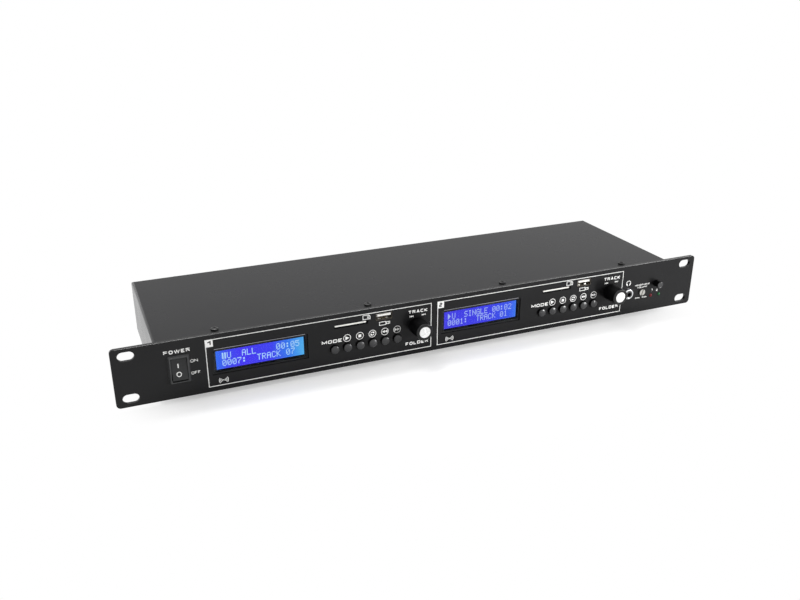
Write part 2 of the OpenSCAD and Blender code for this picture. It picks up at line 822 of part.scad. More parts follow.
module front_panel() {
  color(black_paint) {
    layer(0, panel_t)
      difference() {
        rounded_rect(panel_w, panel_h, panel_corner_r);
        for (sx = [-1, 1], sz = [-1, 1])
          translate([sx * rack_pitch_x / 2, sz * rack_pitch_z / 2])
            slot(rack_slot_l, rack_slot_w);
        for (d = deck_xs) {
          translate([d + window_x, window_z])
            square([window_w, window_h], center = true);
          translate([d + card_x, card_z])
            square([card_w, card_h], center = true);
        }
        control_openings(0);
      }
    for (p = stud_places)
      panel_axis(p[0], p[1], panel_t - join)
        cylinder(r = screw_r, h = stud_l + join);
  }
}

// Enclosure

// Folded section with a wall at Y = 0 and a flange at its foot and at its top, both towards +Y
module channel_section(z0, z1) {
  mid = [flange_d, (z0 + z1) / 2];
  difference() {
    translate(mid)
      rounded_rect(2 * flange_d, z1 - z0, bend_r);
    translate(mid)
      rounded_rect(2 * (flange_d - sheet_t), z1 - z0 - 2 * sheet_t, bend_r - sheet_t);
    translate([flange_d, z0 - cut])
      square([flange_d + cut, z1 - z0 + 2 * cut]);
  }
}

// Round outline across the body that keeps the corners of the folded sheets inside the cover's bends
module inside_cover() {
  intersection() {
    union()
      children();
    along_y(panel_back_y - cut, rear_wall_y + cut)
      translate([0, (foot_h + tray_top_z) / 2])
        rounded_rect(tray_w, tray_top_z - foot_h, bend_r);
  }
}

// Front wall with its top flange, floor and the two side edges
module chassis_tray() {
  color(black_paint)
  difference() {
    inside_cover() {
      along_x(tray_w) {
        translate([panel_back_y, 0])
          channel_section(foot_h, tray_top_z);
        translate([panel_back_y + bend_r, foot_h])
          square([rear_wall_y - panel_back_y - bend_r, sheet_t]);
      }
      for (s = [-1, 1])
        translate([s * (tray_w / 2 - sheet_t / 2), 0, 0])
          box([-sheet_t / 2, panel_back_y + 2 * bend_r, foot_h],
            [sheet_t / 2, rear_wall_y - flange_d - clear, foot_h + tray_side_h]);
    }
    layer(panel_t - cut, wall_back + cut) {
      control_openings(wall_grow);
      for (d = deck_xs) {
        translate([d + lcd_x, 0])
          square([bezel_w + 2 * bezel_gap, bezel_h + 2 * bezel_gap], center = true);
        translate([d + card_x, card_z])
          square([card_w + 2 * (card_wall + clear), card_h + 2 * (card_floor + clear)],
            center = true);
      }
      for (p = stud_places)
        translate(p)
          circle(pass_r);
    }
    for (x = cover_screw_xs)
      translate([x, cover_screw_y, tray_top_z - sheet_t - cut])
        cylinder(r = thread_r, h = sheet_t + 2 * cut);
    for (x = foot_xs, y = foot_ys)
      translate([x, y, foot_h - cut])
        cylinder(r = thread_r, h = sheet_t + 2 * cut);
    for (x = rear_foot_screw_xs)
      translate([x, rear_foot_screw_y, foot_h - cut])
        cylinder(r = pass_r, h = sheet_t + 2 * cut);
  }
}

// Rear wall with a foot on the tray's floor and a top flange under the cover
module rear_panel() {
  color(black_paint)
  difference() {
    inside_cover()
      along_x(tray_w)
        translate([rear_wall_y, 0])
          mirror([1, 0])
            channel_section(tray_floor_z, tray_top_z);
    for (x = rear_screw_xs)
      rear_axis(x, rear_screw_z - panel_mid_z, rear_wall_y - sheet_t - cut)
        cylinder(r = thread_r, h = sheet_t + 2 * cut);
    for (x = rear_foot_screw_xs)
      translate([x, rear_foot_screw_y, tray_floor_z - cut])
        cylinder(r = thread_r, h = sheet_t + 2 * cut);
    rear_openings();
  }
}

// Openings of the rear wall
module rear_openings() {
  translate([inlet_x, 0, panel_mid_z + inlet_z])
    box([-inlet_body_w / 2 - clear, rear_wall_y - sheet_t - cut, -inlet_body_h / 2 - clear],
      [inlet_body_w / 2 + clear, rear_wall_y + cut, inlet_body_h / 2 + clear]);
  for (s = [-1, 1])
    rear_axis(inlet_x + s * inlet_screw_pitch / 2, inlet_z, rear_wall_y - sheet_t - cut)
      cylinder(r = thread_r, h = sheet_t + 2 * cut);
  for (x = output_xs) {
    for (s = [-1, 1])
      rear_axis(x + s * phono_pitch / 2, output_z, rear_wall_y - sheet_t - cut)
        cylinder(r = phono_r + hole_gap, h = sheet_t + 2 * cut);
    rear_axis(x, output_z, rear_wall_y - sheet_t - cut)
      cylinder(r = pass_r, h = sheet_t + 2 * cut);
  }
}

// Folded section of the cover: top and two sides
module cover_section() {
  difference() {
    translate([0, foot_h + body_h / 2])
      rounded_rect(body_w, body_h, bend_r);
    translate([0, foot_h + body_h / 2])
      rounded_rect(body_w - 2 * sheet_t, body_h - 2 * sheet_t, bend_r - sheet_t);
    translate([-body_w / 2, foot_h - cut])
      square([body_w, bend_r + cut]);
    translate([-body_w / 2 + sheet_t, foot_h])
      square([body_w - 2 * sheet_t, body_h / 2]);
  }
}

module top_cover() {
  color(black_paint)
  difference() {
    union() {
      along_y(panel_back_y, rear_y)
        cover_section();
      box([-tray_w / 2, rear_wall_y, body_top_z - rear_lip_h],
        [tray_w / 2, rear_y, body_top_z - sheet_t / 2]);
    }
    for (x = cover_screw_xs)
      translate([x, cover_screw_y, tray_top_z - cut])
        cylinder(r = pass_r, h = sheet_t + 2 * cut);
    for (x = rear_screw_xs)
      rear_axis(x, rear_screw_z - panel_mid_z, rear_wall_y - cut)
        cylinder(r = pass_r, h = sheet_t + 2 * cut);
    // Round bend where the top turns down into the rear lip
    along_x(body_w + 2 * cut)
      difference() {
        translate([rear_y - bend_r, body_top_z - bend_r])
          square([bend_r + cut, bend_r + cut]);
        translate([rear_y - bend_r, body_top_z - bend_r])
          circle(bend_r);
      }
  }
}

module case_screws() {
  color(black_plastic) {
    for (x = cover_screw_xs)
      translate([x, cover_screw_y, body_top_z])
        pan_screw();
    for (x = rear_screw_xs)
      rear_axis(x, rear_screw_z - panel_mid_z, rear_y)
        pan_screw();
    for (s = [-1, 1])
      rear_axis(inlet_x + s * inlet_screw_pitch / 2, inlet_z, rear_wall_y + inlet_t)
        pan_screw();
    for (x = output_xs)
      rear_axis(x, output_z, rear_wall_y)
        pan_screw();
    for (x = rear_foot_screw_xs)
      translate([x, rear_foot_screw_y, foot_h])
        rotate([180, 0, 0])
          pan_screw(2 * sheet_t + screw_end);
  }
}

module rubber_feet() {
  color(black_plastic)
    for (x = foot_xs, y = foot_ys)
      translate([x, y, 0])
        difference() {
          cylinder(r1 = foot_tip_r, r2 = foot_r, h = foot_h);
          translate([0, 0, -cut])
            cylinder(r = screw_head_r + pass_gap, h = foot_h - foot_floor + cut);
          translate([0, 0, -cut])
            cylinder(r = pass_r, h = foot_h + 2 * cut);
        }
}

// Power switch

module power_switch_housing() {
  color(black_plastic)
  difference() {
    union() {
      layer(-switch_out, 0)
        translate([switch_x, switch_z])
          rounded_rect(switch_w, switch_h, switch_corner_r);
      layer(-join, switch_d)
        translate([switch_x, switch_z])
          square([switch_body_w, switch_body_h], center = true);
    }
    layer(-switch_out - cut, switch_cavity_y)
      translate([switch_x, switch_z])
        square([switch_cavity_w, switch_cavity_h], center = true);
    translate([switch_x, front_y + pivot_y, panel_mid_z + switch_z])
      rotate([0, 90, 0])
        cylinder(r = pivot_r + pivot_gap, h = pivot_bore_l, center = true);
  }
}

module switch_terminals() {
  color(steel)
    for (s = [-1, 1])
      translate([switch_x, front_y + switch_d, panel_mid_z + switch_z + s * terminal_pitch / 2])
        difference() {
          box([-terminal_w / 2, 0, -terminal_t / 2], [terminal_w / 2, terminal_l, terminal_t / 2]);
          translate([0, terminal_l - terminal_w / 2, -cut])
            cylinder(r = terminal_hole_r, h = 2 * cut);
        }
}

// The rocker stands in its on position, with its top pressed in
module power_rocker() {
  half = rocker_h / 2;
  color(black_plastic)
    translate([switch_x, front_y + pivot_y, panel_mid_z + switch_z])
      rotate([-rocker_swing / 2, 0, 0]) {
        along_x(rocker_w)
          difference() {
            polygon([[-rocker_tip, half], [-rocker_tip, -half], [-rocker_skirt, -half],
              [rocker_back, -rocker_skirt], [rocker_keel, 0], [rocker_back, rocker_skirt],
              [-rocker_skirt, half]]);
            // Hollow face from tip to tip
            translate([-rocker_arm - rocker_face_r, 0])
              circle(rocker_face_r, $fn = 180);
          }
        rotate([0, 90, 0])
          cylinder(r = pivot_r, h = pivot_bore_l - 2 * clear, center = true);
      }
}

// Displays

module display_windows() {
  color([0.75, 0.8, 0.85, 0.4])
    for (d = deck_xs)
      layer(pane_y, panel_t - pane_back)
        translate([d + window_x, window_z])
          square([window_w - 2 * pane_gap, window_h - 2 * pane_gap], center = true);
}

module display_bezels() {
  color(black_plastic)
    for (d = deck_xs)
      difference() {
        layer(bezel_y, lcd_board_y)
          translate([d + lcd_x, 0])
            rounded_rect(bezel_w, bezel_h, bezel_corner_r);
        layer(bezel_y - cut, lcd_board_y)
          translate([d + lcd_x, 0])
            square([view_w, view_h], center = true);
        layer(bezel_y + bezel_t, lcd_board_y + cut)
          translate([d + lcd_x, 0])
            square([bezel_w - 2 * bezel_t, bezel_h - 2 * bezel_t], center = true);
      }
}

module display_glasses() {
  color([0.2, 0.35, 0.95])
    for (d = deck_xs)
      layer(bezel_y + bezel_t, lcd_board_y)
        translate([d + lcd_x, 0])
          square([bezel_w - 2 * bezel_t - 2 * pane_gap, bezel_h - 2 * bezel_t - 2 * pane_gap],
            center = true);
}

module display_boards() {
  color(board_green)
    for (d = deck_xs)
      layer(lcd_board_y, lcd_board_y + board_t)
        difference() {
          translate([d + lcd_x, 0])
            square([lcd_board_w, lcd_board_h], center = true);
          for (p = lcd_holes(d))
            translate(p)
              circle(pass_r);
        }
}

// Sockets

module usb_shells() {
  color(steel)
    for (d = deck_xs)
      layer(usb_inset, usb_back_y)
        translate([d + usb_x, usb_z])
          difference() {
            rounded_rect(usb_w, usb_h, 2 * usb_t);
            rounded_rect(usb_w - 2 * usb_t, usb_h - 2 * usb_t, usb_t);
          }
}

// White insulator: tongue in the upper half of the shell, back block and foot on the board
module usb_tongues() {
  inner_gap = 2 * (usb_t + thread_gap);
  color(white_plastic)
    for (d = deck_xs) {
      layer(tongue_y, usb_back_y)
        translate([d + usb_x, usb_z + tongue_rise])
          square([tongue_w, tongue_t], center = true);
      layer(usb_back_y - usb_block_d, usb_back_y)
        translate([d + usb_x, usb_z])
          rounded_rect(usb_w - inner_gap, usb_h - inner_gap, usb_t);
      layer(usb_back_y, usb_back_y + usb_wall)
        translate([d + usb_x - usb_w / 2, media_board_top])
          square([usb_w, usb_z + usb_h / 2 - media_board_top]);
      layer(media_board_y, usb_back_y + join)
        translate([d + usb_x - usb_w / 2, media_board_top])
          square([usb_w, usb_bottom - media_board_top]);
    }
}

module card_sockets() {
  color(white_plastic)
    for (d = deck_xs)
      difference() {
        layer(card_front_y, card_front_y + card_d)
          translate([d + card_x, card_z])
            square([card_w + 2 * card_wall, card_h + 2 * card_floor], center = true);
        layer(card_front_y - cut, card_front_y + card_d - card_back)
          translate([d + card_x, card_z])
            square([card_w, card_h], center = true);
      }
}

module media_boards() {
  color(board_green)
    for (d = deck_xs)
      difference() {
        box([d + media_xs[0], front_y + media_board_y, panel_mid_z + media_board_z],
          [d + media_xs[1], front_y + media_board_y + media_board_d, panel_mid_z + media_board_top]);
        for (p = media_holes(d))
          translate([p[0], p[1], panel_mid_z + media_board_z - cut])
            cylinder(r = pass_r, h = board_t + 2 * cut);
      }
}

// Buttons and their switches

// One domed button with its collar and stem
module push_button(deck, place) {
  dome_r = (button_r * button_r + button_dome * button_dome) / (2 * button_dome);
  color([0.2, 0.2, 0.21])
    panel_axis(deck_xs[deck] + button_x + place * button_pitch, button_z) {
      intersection() {
        translate([0, 0, -button_out])
          cylinder(r = button_r, h = button_out + collar_y + join);
        translate([0, 0, -button_out + dome_r])
          sphere(dome_r);
      }
      translate([0, 0, collar_y])
        cylinder(r = button_r + collar_w, h = collar_t);
      translate([0, 0, stem_y - join])
        cylinder(r = stem_r, h = stem_end_y - stem_y + join);
    }
}

module mode_button_1() { push_button(0, 0); }
module play_button_1() { push_button(0, 1); }
module stop_button_1() { push_button(0, 2); }
module repeat_button_1() { push_button(0, 3); }
module previous_button_1() { push_button(0, 4); }
module next_button_1() { push_button(0, 5); }
module mode_button_2() { push_button(1, 0); }
module play_button_2() { push_button(1, 1); }
module stop_button_2() { push_button(1, 2); }
module repeat_button_2() { push_button(1, 3); }
module previous_button_2() { push_button(1, 4); }
module next_button_2() { push_button(1, 5); }

module key_switches() {
  color(black_plastic)
    for (d = deck_xs, i = [0:5])
      panel_axis(d + button_x + i * button_pitch, button_z, key_y)
        difference() {
          translate([-key_w / 2, -key_w / 2, 0])
            cube([key_w, key_w, key_d]);
          translate([0, 0, -cut])
            cylinder(r = stem_r + stem_gap, h = stem_hole_end_y - key_y + cut);
        }
}

module key_boards() {
  color(board_green)
    for (d = deck_xs)
      layer(key_board_y, key_board_y + board_t)
        difference() {
          translate([d + key_board_xs[0], key_board_bottom])
            square([key_board_xs[1] - key_board_xs[0], key_board_top - key_board_bottom]);
          for (p = key_holes(d))
            translate(p)
              circle(pass_r);
        }
}

// Encoders

module encoder_bodies() {
  color(steel)
    for (d = deck_xs)
      panel_axis(d + knob_x, knob_z)
        difference() {
          union() {
            translate([-encoder_w / 2, -encoder_h / 2, encoder_y])
              cube([encoder_w, encoder_h, encoder_back_y - encoder_y]);
            translate([0, 0, -bushing_out])
              cylinder(r = bushing_r, h = bushing_out + encoder_y + join);
          }
          translate([0, 0, -bushing_out - cut])
            cylinder(r = shaft_r + shaft_gap, h = bushing_out + encoder_back_y + cut - encoder_floor);
          translate([0, 0, rotor_y - clear])
            cylinder(r = rotor_r + clear, h = rotor_t + 2 * clear);
        }
}

// Rotor that the shaft turns and slides through
module encoder_rotor(deck) {
  color(black_plastic)
    panel_axis(deck_xs[deck] + knob_x, knob_z, rotor_y)
      linear_extrude(rotor_t)
        difference() {
          circle(rotor_r);
          flatted_circle(shaft_r + shaft_gap, shaft_flat - shaft_gap);
        }
}

module encoder_shaft(deck) {
  color(steel)
    panel_axis(deck_xs[deck] + knob_x, knob_z, shaft_front_y)
      linear_extrude(shaft_end_y - shaft_front_y)
        flatted_circle(shaft_r, shaft_flat);
}

// Tapered knob with a seat for the disc, a shaft bore and room for the bushing
module track_knob(deck) {
  color(black_plastic)
    panel_axis(deck_xs[deck] + knob_x, knob_z, -knob_out)
      difference() {
        union() {
          translate([0, 0, knob_bevel])
            cylinder(r1 = knob_tip_r, r2 = knob_r, h = knob_out - knob_gap - knob_bevel);
          cylinder(r1 = knob_tip_r - knob_bevel, r2 = knob_tip_r, h = knob_bevel);
        }
        translate([0, 0, -cut])
          cylinder(r = disc_r + press_gap, h = disc_t + cut);
        translate([0, 0, shaft_front_y + knob_out - press_gap])
          linear_extrude(knob_out)
            flatted_circle(shaft_r + press_gap, shaft_flat - press_gap);
        translate([0, 0, knob_out - bushing_out - encoder_push - knob_room])
          cylinder(r = bushing_r + knob_room, h = knob_out);
      }
}

module knob_disc(deck) {
  color([0.9, 0.9, 0.9])
    panel_axis(deck_xs[deck] + knob_x, knob_z, -knob_out)
      cylinder(r = disc_r, h = disc_t);
}

module encoder_rotor_1() { encoder_rotor(0); }
module encoder_shaft_1() { encoder_shaft(0); }
module track_knob_1() { track_knob(0); }
module knob_disc_1() { knob_disc(0); }
module encoder_rotor_2() { encoder_rotor(1); }
module encoder_shaft_2() { encoder_shaft(1); }
module track_knob_2() { track_knob(1); }
module knob_disc_2() { knob_disc(1); }

// Headphone group

module jack_body() {
  color(black_plastic)
    panel_axis(jack_x, jack_z)
      difference() {
        union() {
          translate([0, 0, jack_front_y])
            cylinder(r = jack_barrel_r, h = wall_back - jack_front_y + join);
          translate([-jack_body_w / 2, -jack_body_h / 2, wall_back])
            cube([jack_body_w, jack_body_h, phones_board_y - wall_back]);
        }
        translate([0, 0, jack_front_y - cut])
          cylinder(r = jack_bore_r, h = jack_bore_l + cut);
      }
}

module jack_nut() {
  color([0.85, 0.86, 0.88])
    panel_axis(jack_x, jack_z, -jack_nut_t)
      difference() {
        union() {
          translate([0, 0, jack_bevel])
            cylinder(r = jack_nut_r, h = jack_nut_t - jack_bevel);
          cylinder(r1 = jack_nut_r - jack_bevel, r2 = jack_nut_r, h = jack_bevel);
        }
        translate([0, 0, -cut])
          cylinder(r = jack_barrel_r + thread_gap, h = jack_nut_t + 2 * cut);
      }
}

module volume_pot_body() {
  color(black_plastic)
    panel_axis(volume_x, volume_z, volume_body_y)
      difference() {
        translate([-volume_body_w / 2, -volume_body_w / 2, 0])
          cube([volume_body_w, volume_body_w, phones_board_y - volume_body_y]);
        translate([0, 0, -cut])
          cylinder(r = volume_r + shaft_gap, h = volume_end_y - volume_body_y + clear + cut);
      }
}

module volume_shaft() {
  color([0.8, 0.81, 0.83])
    panel_axis(volume_x, volume_z, -volume_out)
      difference() {
        cylinder(r = volume_r, h = volume_end_y + volume_out);
        rotate(volume_slot_angle)
          translate([-volume_slot_w / 2, -volume_r - cut, -cut])
            cube([volume_slot_w, 2 * (volume_r + cut), cut + volume_slot_d]);
      }
}

module select_switch_body() {
  color(black_plastic)
    panel_axis(select_x, select_z, select_body_y)
      difference() {
        translate([-select_body_w / 2, -select_body_w / 2, 0])
          cube([select_body_w, select_body_w, phones_board_y - select_body_y]);
        translate([0, 0, -cut])
          cylinder(r = stem_r + stem_gap, h = select_stem_l + select_travel + clear + cut);
      }
}

module select_button() {
  color(black_plastic)
    panel_axis(select_x, select_z, -select_out) {
      translate([0, 0, select_bevel])
        cylinder(r = select_r, h = select_out + select_cap_end_y - select_bevel);
      cylinder(r1 = select_r - select_bevel, r2 = select_r, h = select_bevel);
      translate([0, 0, select_out])
        cylinder(r = stem_r, h = select_body_y + select_stem_l);
    }
}

// Round lamp with its flange and two leads to the board
module lamp(x) {
  panel_axis(x, led_z) {
    translate([0, 0, led_r - led_out]) {
      sphere(led_r);
      cylinder(r = led_r, h = led_flange_y + join + led_out - led_r);
    }
    translate([0, 0, led_flange_y])
      cylinder(r = led_r + led_flange_w, h = led_flange_t);
    for (s = [-1, 1])
      translate([s * lead_x, 0, led_flange_y + led_flange_t - join])
        cylinder(r = lead_r, h = phones_board_y - led_flange_y - led_flange_t + join);
  }
}

module led_red() { color([0.75, 0.12, 0.15]) lamp(led_xs[0]); }

module led_green() { color([0.1, 0.6, 0.25]) lamp(led_xs[1]); }

module phones_board() {
  color(board_green)
    layer(phones_board_y, phones_board_y + board_t)
      difference() {
        translate([phones_xs[0], phones_zs[0]])
          square([phones_xs[1] - phones_xs[0], phones_zs[1] - phones_zs[0]]);
        for (p = phones_holes())
          translate(p)
            circle(pass_r);
      }
}

// Power supply

module power_board() {
  color(board_green)
    difference() {
      box([power_board_x - power_board_w / 2, power_board_y, power_board_z],
        [power_board_x + power_board_w / 2, power_board_y + power_board_d, power_board_top]);
      for (p = power_holes())
        translate([p[0], p[1], power_board_z - cut])
          cylinder(r = pass_r, h = board_t + 2 * cut);
    }
}

// Laminated core standing on the board, with the winding on its middle limb
module power_transformer() {
  color([0.45, 0.42, 0.36])
    translate([power_board_x, power_board_y + power_board_d / 2, power_board_top + core_size[2] / 2]) {
      cube(core_size, center = true);
      cube(winding_size, center = true);
    }
}

// Rear connectors

// Outline of the inlet's opening, with the two upper corners cut
module inlet_outline(w, h, corner) {
  polygon([[-w / 2, -h / 2], [w / 2, -h / 2], [w / 2, h / 2 - corner],
    [w / 2 - corner, h / 2], [-w / 2 + corner, h / 2], [-w / 2, h / 2 - corner]]);
}

module mains_inlet() {
  color(black_plastic)
    translate([inlet_x, 0, panel_mid_z + inlet_z])
      difference() {
        union() {
          along_y(rear_wall_y, rear_wall_y + inlet_t)
            rounded_rect(inlet_w, inlet_h, inlet_corner_r);
          along_y(inlet_back_y, rear_wall_y + join)
            inlet_outline(inlet_body_w, inlet_body_h, inlet_cut);
        }
        along_y(rear_wall_y + inlet_t - inlet_open_d, rear_wall_y + inlet_t + cut)
          inlet_outline(inlet_open_w, inlet_open_h, inlet_cut);
        for (s = [-1, 1])
          translate([s * inlet_screw_pitch / 2, rear_wall_y - cut, 0])
            rotate([-90, 0, 0])
              cylinder(r = pass_r, h = inlet_t + 2 * cut);
        for (p = inlet_pin_places)
          translate([p[0], 0, p[1]])
            box([-inlet_pin_w / 2 - thread_gap, inlet_back_y - cut, -inlet_pin_h / 2 - thread_gap],
              [inlet_pin_w / 2 + thread_gap, rear_wall_y, inlet_pin_h / 2 + thread_gap]);
      }
}

// Line, neutral and earth pins, each with its tab inside the case
module inlet_pins() {
  color(steel)
    for (p = inlet_pin_places)
      translate([inlet_x + p[0], 0, panel_mid_z + inlet_z + p[1]])
        box([-inlet_pin_w / 2, inlet_back_y - terminal_l, -inlet_pin_h / 2],
          [inlet_pin_w / 2, rear_wall_y + inlet_t - inlet_open_d + inlet_pin_l, inlet_pin_h / 2]);
}

module output_jack_bodies() {
  back = rear_wall_y - sheet_t;
  color(black_plastic)
    for (x = output_xs)
      difference() {
        translate([x, 0, panel_mid_z + output_z])
          box([-output_body_w / 2, back - output_body_d, -output_body_h / 2],
            [output_body_w / 2, back, output_body_h / 2]);
        rear_axis(x, output_z, back - screw_l)
          cylinder(r = thread_r, h = screw_l + cut);
      }
}

module output_jack_shells() {
  color([0.85, 0.75, 0.4])
    for (x = output_xs, s = [-1, 1])
      rear_axis(x + s * phono_pitch / 2, output_z, rear_wall_y - sheet_t)
        linear_extrude(phono_out + 2 * sheet_t)
          difference() {
            circle(phono_r);
            circle(phono_r - phono_t);
          }
}

// Coloured insulator with the blind bore for the plug's pin
module phono_insert(x) {
  l = phono_out + 2 * sheet_t - insert_sink;
  rear_axis(x, output_z, rear_wall_y - sheet_t)
    difference() {
      cylinder(r = insert_r, h = l);
      translate([0, 0, l - phono_bore_l])
        cylinder(r = phono_bore_r, h = phono_bore_l + cut);
    }
}

module output_inserts_left() {
  color(white_plastic)
    for (x = output_xs)
      phono_insert(x + phono_pitch / 2);
}

module output_inserts_right() {
  color([0.75, 0.1, 0.1])
    for (x = output_xs)
      phono_insert(x - phono_pitch / 2);
}

// Small hardware

module standoffs() {
  media_l = panel_mid_z + media_board_z - tray_floor_z;
  color([0.8, 0.72, 0.45]) {
    for (d = deck_xs) {
      for (p = lcd_holes(d))
        panel_axis(p[0], p[1], wall_back)
          standoff(lcd_board_y - wall_back);
      for (p = key_holes(d))
        panel_axis(p[0], p[1], wall_back)
          standoff(key_board_y - wall_back);
      for (p = media_holes(d))
        translate([p[0], p[1], tray_floor_z])
          standoff(media_l);
    }
    for (p = phones_holes())
      panel_axis(p[0], p[1], wall_back)
        standoff(phones_board_y - wall_back);
    for (p = power_holes())
      translate([p[0], p[1], tray_floor_z])
        standoff(power_standoff_h);
  }
}

// Screws on the boards and in the feet, and the nuts on the panel's studs
module machine_screws() {
  color(steel) {
    for (p = stud_places)
      panel_axis(p[0], p[1], wall_back)
        hex_nut();
    for (d = deck_xs) {
      for (p = lcd_holes(d))
        panel_axis(p[0], p[1], lcd_board_y + board_t)
          pan_screw(board_t + screw_bite);
      for (p = key_holes(d))
        panel_axis(p[0], p[1], key_board_y + board_t)
          pan_screw(board_t + screw_bite);
      for (p = media_holes(d))
        translate([p[0], p[1], panel_mid_z + media_board_top])
          pan_screw(board_t + screw_bite);
    }
    for (p = phones_holes())
      panel_axis(p[0], p[1], phones_board_y + board_t)
        pan_screw(board_t + screw_bite);
    for (p = power_holes())
      translate([p[0], p[1], power_board_top])
        pan_screw(board_t + screw_bite);
    for (x = foot_xs, y = foot_ys)
      translate([x, y, foot_h - foot_floor])
        rotate([180, 0, 0])
          pan_screw(foot_floor + sheet_t + screw_end);
  }
}

// Round wire that runs to the rear by a length, bends and comes down by a drop
module wire(length, drop) {
  bend = 2 * wire_r;
  rotate([-90, 0, 0])
    cylinder(r = wire_r, h = length - bend);
  translate([0, length - bend, -bend])
    rotate([90, 0, 90])
      rotate_extrude(angle = 90)
        translate([bend, 0])
          circle(wire_r);
  translate([0, length, -drop])
    cylinder(r = wire_r, h = drop - bend);
}

// Flat cables from the key boards and displays to the media boards, and the mains wires
module wire_looms() {
  key_back = front_y + key_board_y + board_t;
  lcd_back = front_y + lcd_board_y + board_t;
  under = panel_mid_z + media_board_z;
  over = panel_mid_z + media_board_top;
  lcd_ribbon_xs = [lcd_x + lcd_hole_x / 2 - lcd_ribbon_w, media_xs[0] + hole_inset];
  terminal_y = front_y + switch_d + terminal_l;
  tab_y = inlet_back_y - terminal_l;
  color([0.6, 0.6, 0.62]) {
    for (d = deck_xs) {
      translate([d + card_x, 0, 0])
        along_x(key_ribbon_w)
          translate([key_back, under - key_ribbon_drop]) {
            square([key_ribbon_out, ribbon_t]);
            translate([key_ribbon_out - ribbon_t, 0])
              square([ribbon_t, key_ribbon_drop]);
          }
      translate([d, lcd_back, over]) {
        box([lcd_ribbon_xs[0], 0, 0], [lcd_ribbon_xs[0] + ribbon_t, lcd_ribbon_out, lcd_ribbon_w]);
        box([lcd_ribbon_xs[0], lcd_ribbon_out - ribbon_t, 0],
          [lcd_ribbon_xs[1], lcd_ribbon_out, lcd_ribbon_w]);
      }
    }
    for (s = [-1, 1]) {
      z = panel_mid_z + switch_z + s * terminal_pitch / 2;
      y = power_board_y + wire_run + 2 * (1 + s) * wire_r;
      translate([switch_x, terminal_y, z])
        wire(y - terminal_y, z - power_board_top);
    }
    for (p = inlet_pin_places) {
      z = panel_mid_z + inlet_z + p[1];
      y = power_board_y + power_board_d - wire_run;
      translate([inlet_x + p[0], tab_y, z])
        mirror([0, 1, 0])
          wire(tab_y - y, z - power_board_top);
    }
  }
}

front_panel();
chassis_tray();
rear_panel();
top_cover();
case_screws();
rubber_feet();
power_switch_housing();
switch_terminals();
power_rocker();
display_windows();
display_bezels();
display_glasses();
display_boards();
usb_shells();
usb_tongues();
card_sockets();
media_boards();
key_boards();
key_switches();
encoder_bodies();
mode_button_1();
play_button_1();
stop_button_1();
repeat_button_1();
previous_button_1();
next_button_1();
mode_button_2();
play_button_2();
stop_button_2();
repeat_button_2();
previous_button_2();
next_button_2();
encoder_rotor_1();
encoder_shaft_1();
track_knob_1();
knob_disc_1();
encoder_rotor_2();
encoder_shaft_2();
track_knob_2();
knob_disc_2();
jack_body();
jack_nut();
volume_pot_body();
volume_shaft();
select_switch_body();
select_button();
led_red();
led_green();
phones_board();
power_board();
power_transformer();
mains_inlet();
inlet_pins();
output_jack_bodies();
output_jack_shells();
output_inserts_left();
output_inserts_right();
standoffs();
machine_screws();
wire_looms();
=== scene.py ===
"""Dresses the rack media player: finishes for its solids, and the prints, displays and fine pieces they carry.

Shapes are worked out in millimetres. On the panel, x runs to the right, z up from the panel's middle and h out
of its front face, and PanelFace turns such places into the frame's metres.
"""
import json
import logging
import math
from dataclasses import dataclass, field
from enum import Enum
from functools import lru_cache
from itertools import product
from typing import Any, Callable, Iterable, Optional, Sequence

import bmesh
import bpy
import numpy as np
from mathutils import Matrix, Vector


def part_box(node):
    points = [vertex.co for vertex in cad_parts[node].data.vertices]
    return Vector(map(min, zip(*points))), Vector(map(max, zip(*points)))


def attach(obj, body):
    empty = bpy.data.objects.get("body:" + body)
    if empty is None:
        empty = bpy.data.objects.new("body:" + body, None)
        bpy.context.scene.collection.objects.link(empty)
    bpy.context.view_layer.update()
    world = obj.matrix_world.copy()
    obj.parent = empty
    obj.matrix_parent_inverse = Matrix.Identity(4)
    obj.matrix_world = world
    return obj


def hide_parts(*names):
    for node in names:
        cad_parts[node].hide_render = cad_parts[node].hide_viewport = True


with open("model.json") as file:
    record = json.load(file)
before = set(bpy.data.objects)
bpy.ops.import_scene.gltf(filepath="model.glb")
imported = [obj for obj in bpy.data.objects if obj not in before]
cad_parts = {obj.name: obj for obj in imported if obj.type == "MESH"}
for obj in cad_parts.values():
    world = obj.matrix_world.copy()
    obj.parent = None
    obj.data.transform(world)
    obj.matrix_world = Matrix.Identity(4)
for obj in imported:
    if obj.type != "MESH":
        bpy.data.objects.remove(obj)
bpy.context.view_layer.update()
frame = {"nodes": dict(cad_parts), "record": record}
MM = 0.001
LOG = logging.getLogger("media_player")
Tree = bpy.types.NodeTree


# Surfaces


@dataclass(frozen=True)
class Surface:
    """Points in millimetres, one row each, and arrays of faces that join them."""

    points: np.ndarray
    faces: tuple[np.ndarray, ...]

    def moved(self, x: float = 0.0, z: float = 0.0, h: float = 0.0) -> "Surface":
        """Return the same surface shifted across, up and out of the panel."""
        return Surface(self.points + np.array([x, z, h]), self.faces)

    def bent(self, rule: Callable[[np.ndarray], np.ndarray]) -> "Surface":
        """Return the same faces with every point passed through a rule."""
        return Surface(rule(self.points), self.faces)


def join(parts: Iterable[Surface]) -> Surface:
    """Put several surfaces into one, each face array shifted by the points before it.

    Args:
        parts: Surfaces to put together.

    Returns:
        One surface with all their points and faces.
    """
    parts = list(parts)
    starts = np.cumsum([0] + [len(part.points) for part in parts])
    faces = [array + start for part, start in zip(parts, starts) for array in part.faces]
    return Surface(np.concatenate([part.points for part in parts]), tuple(faces))


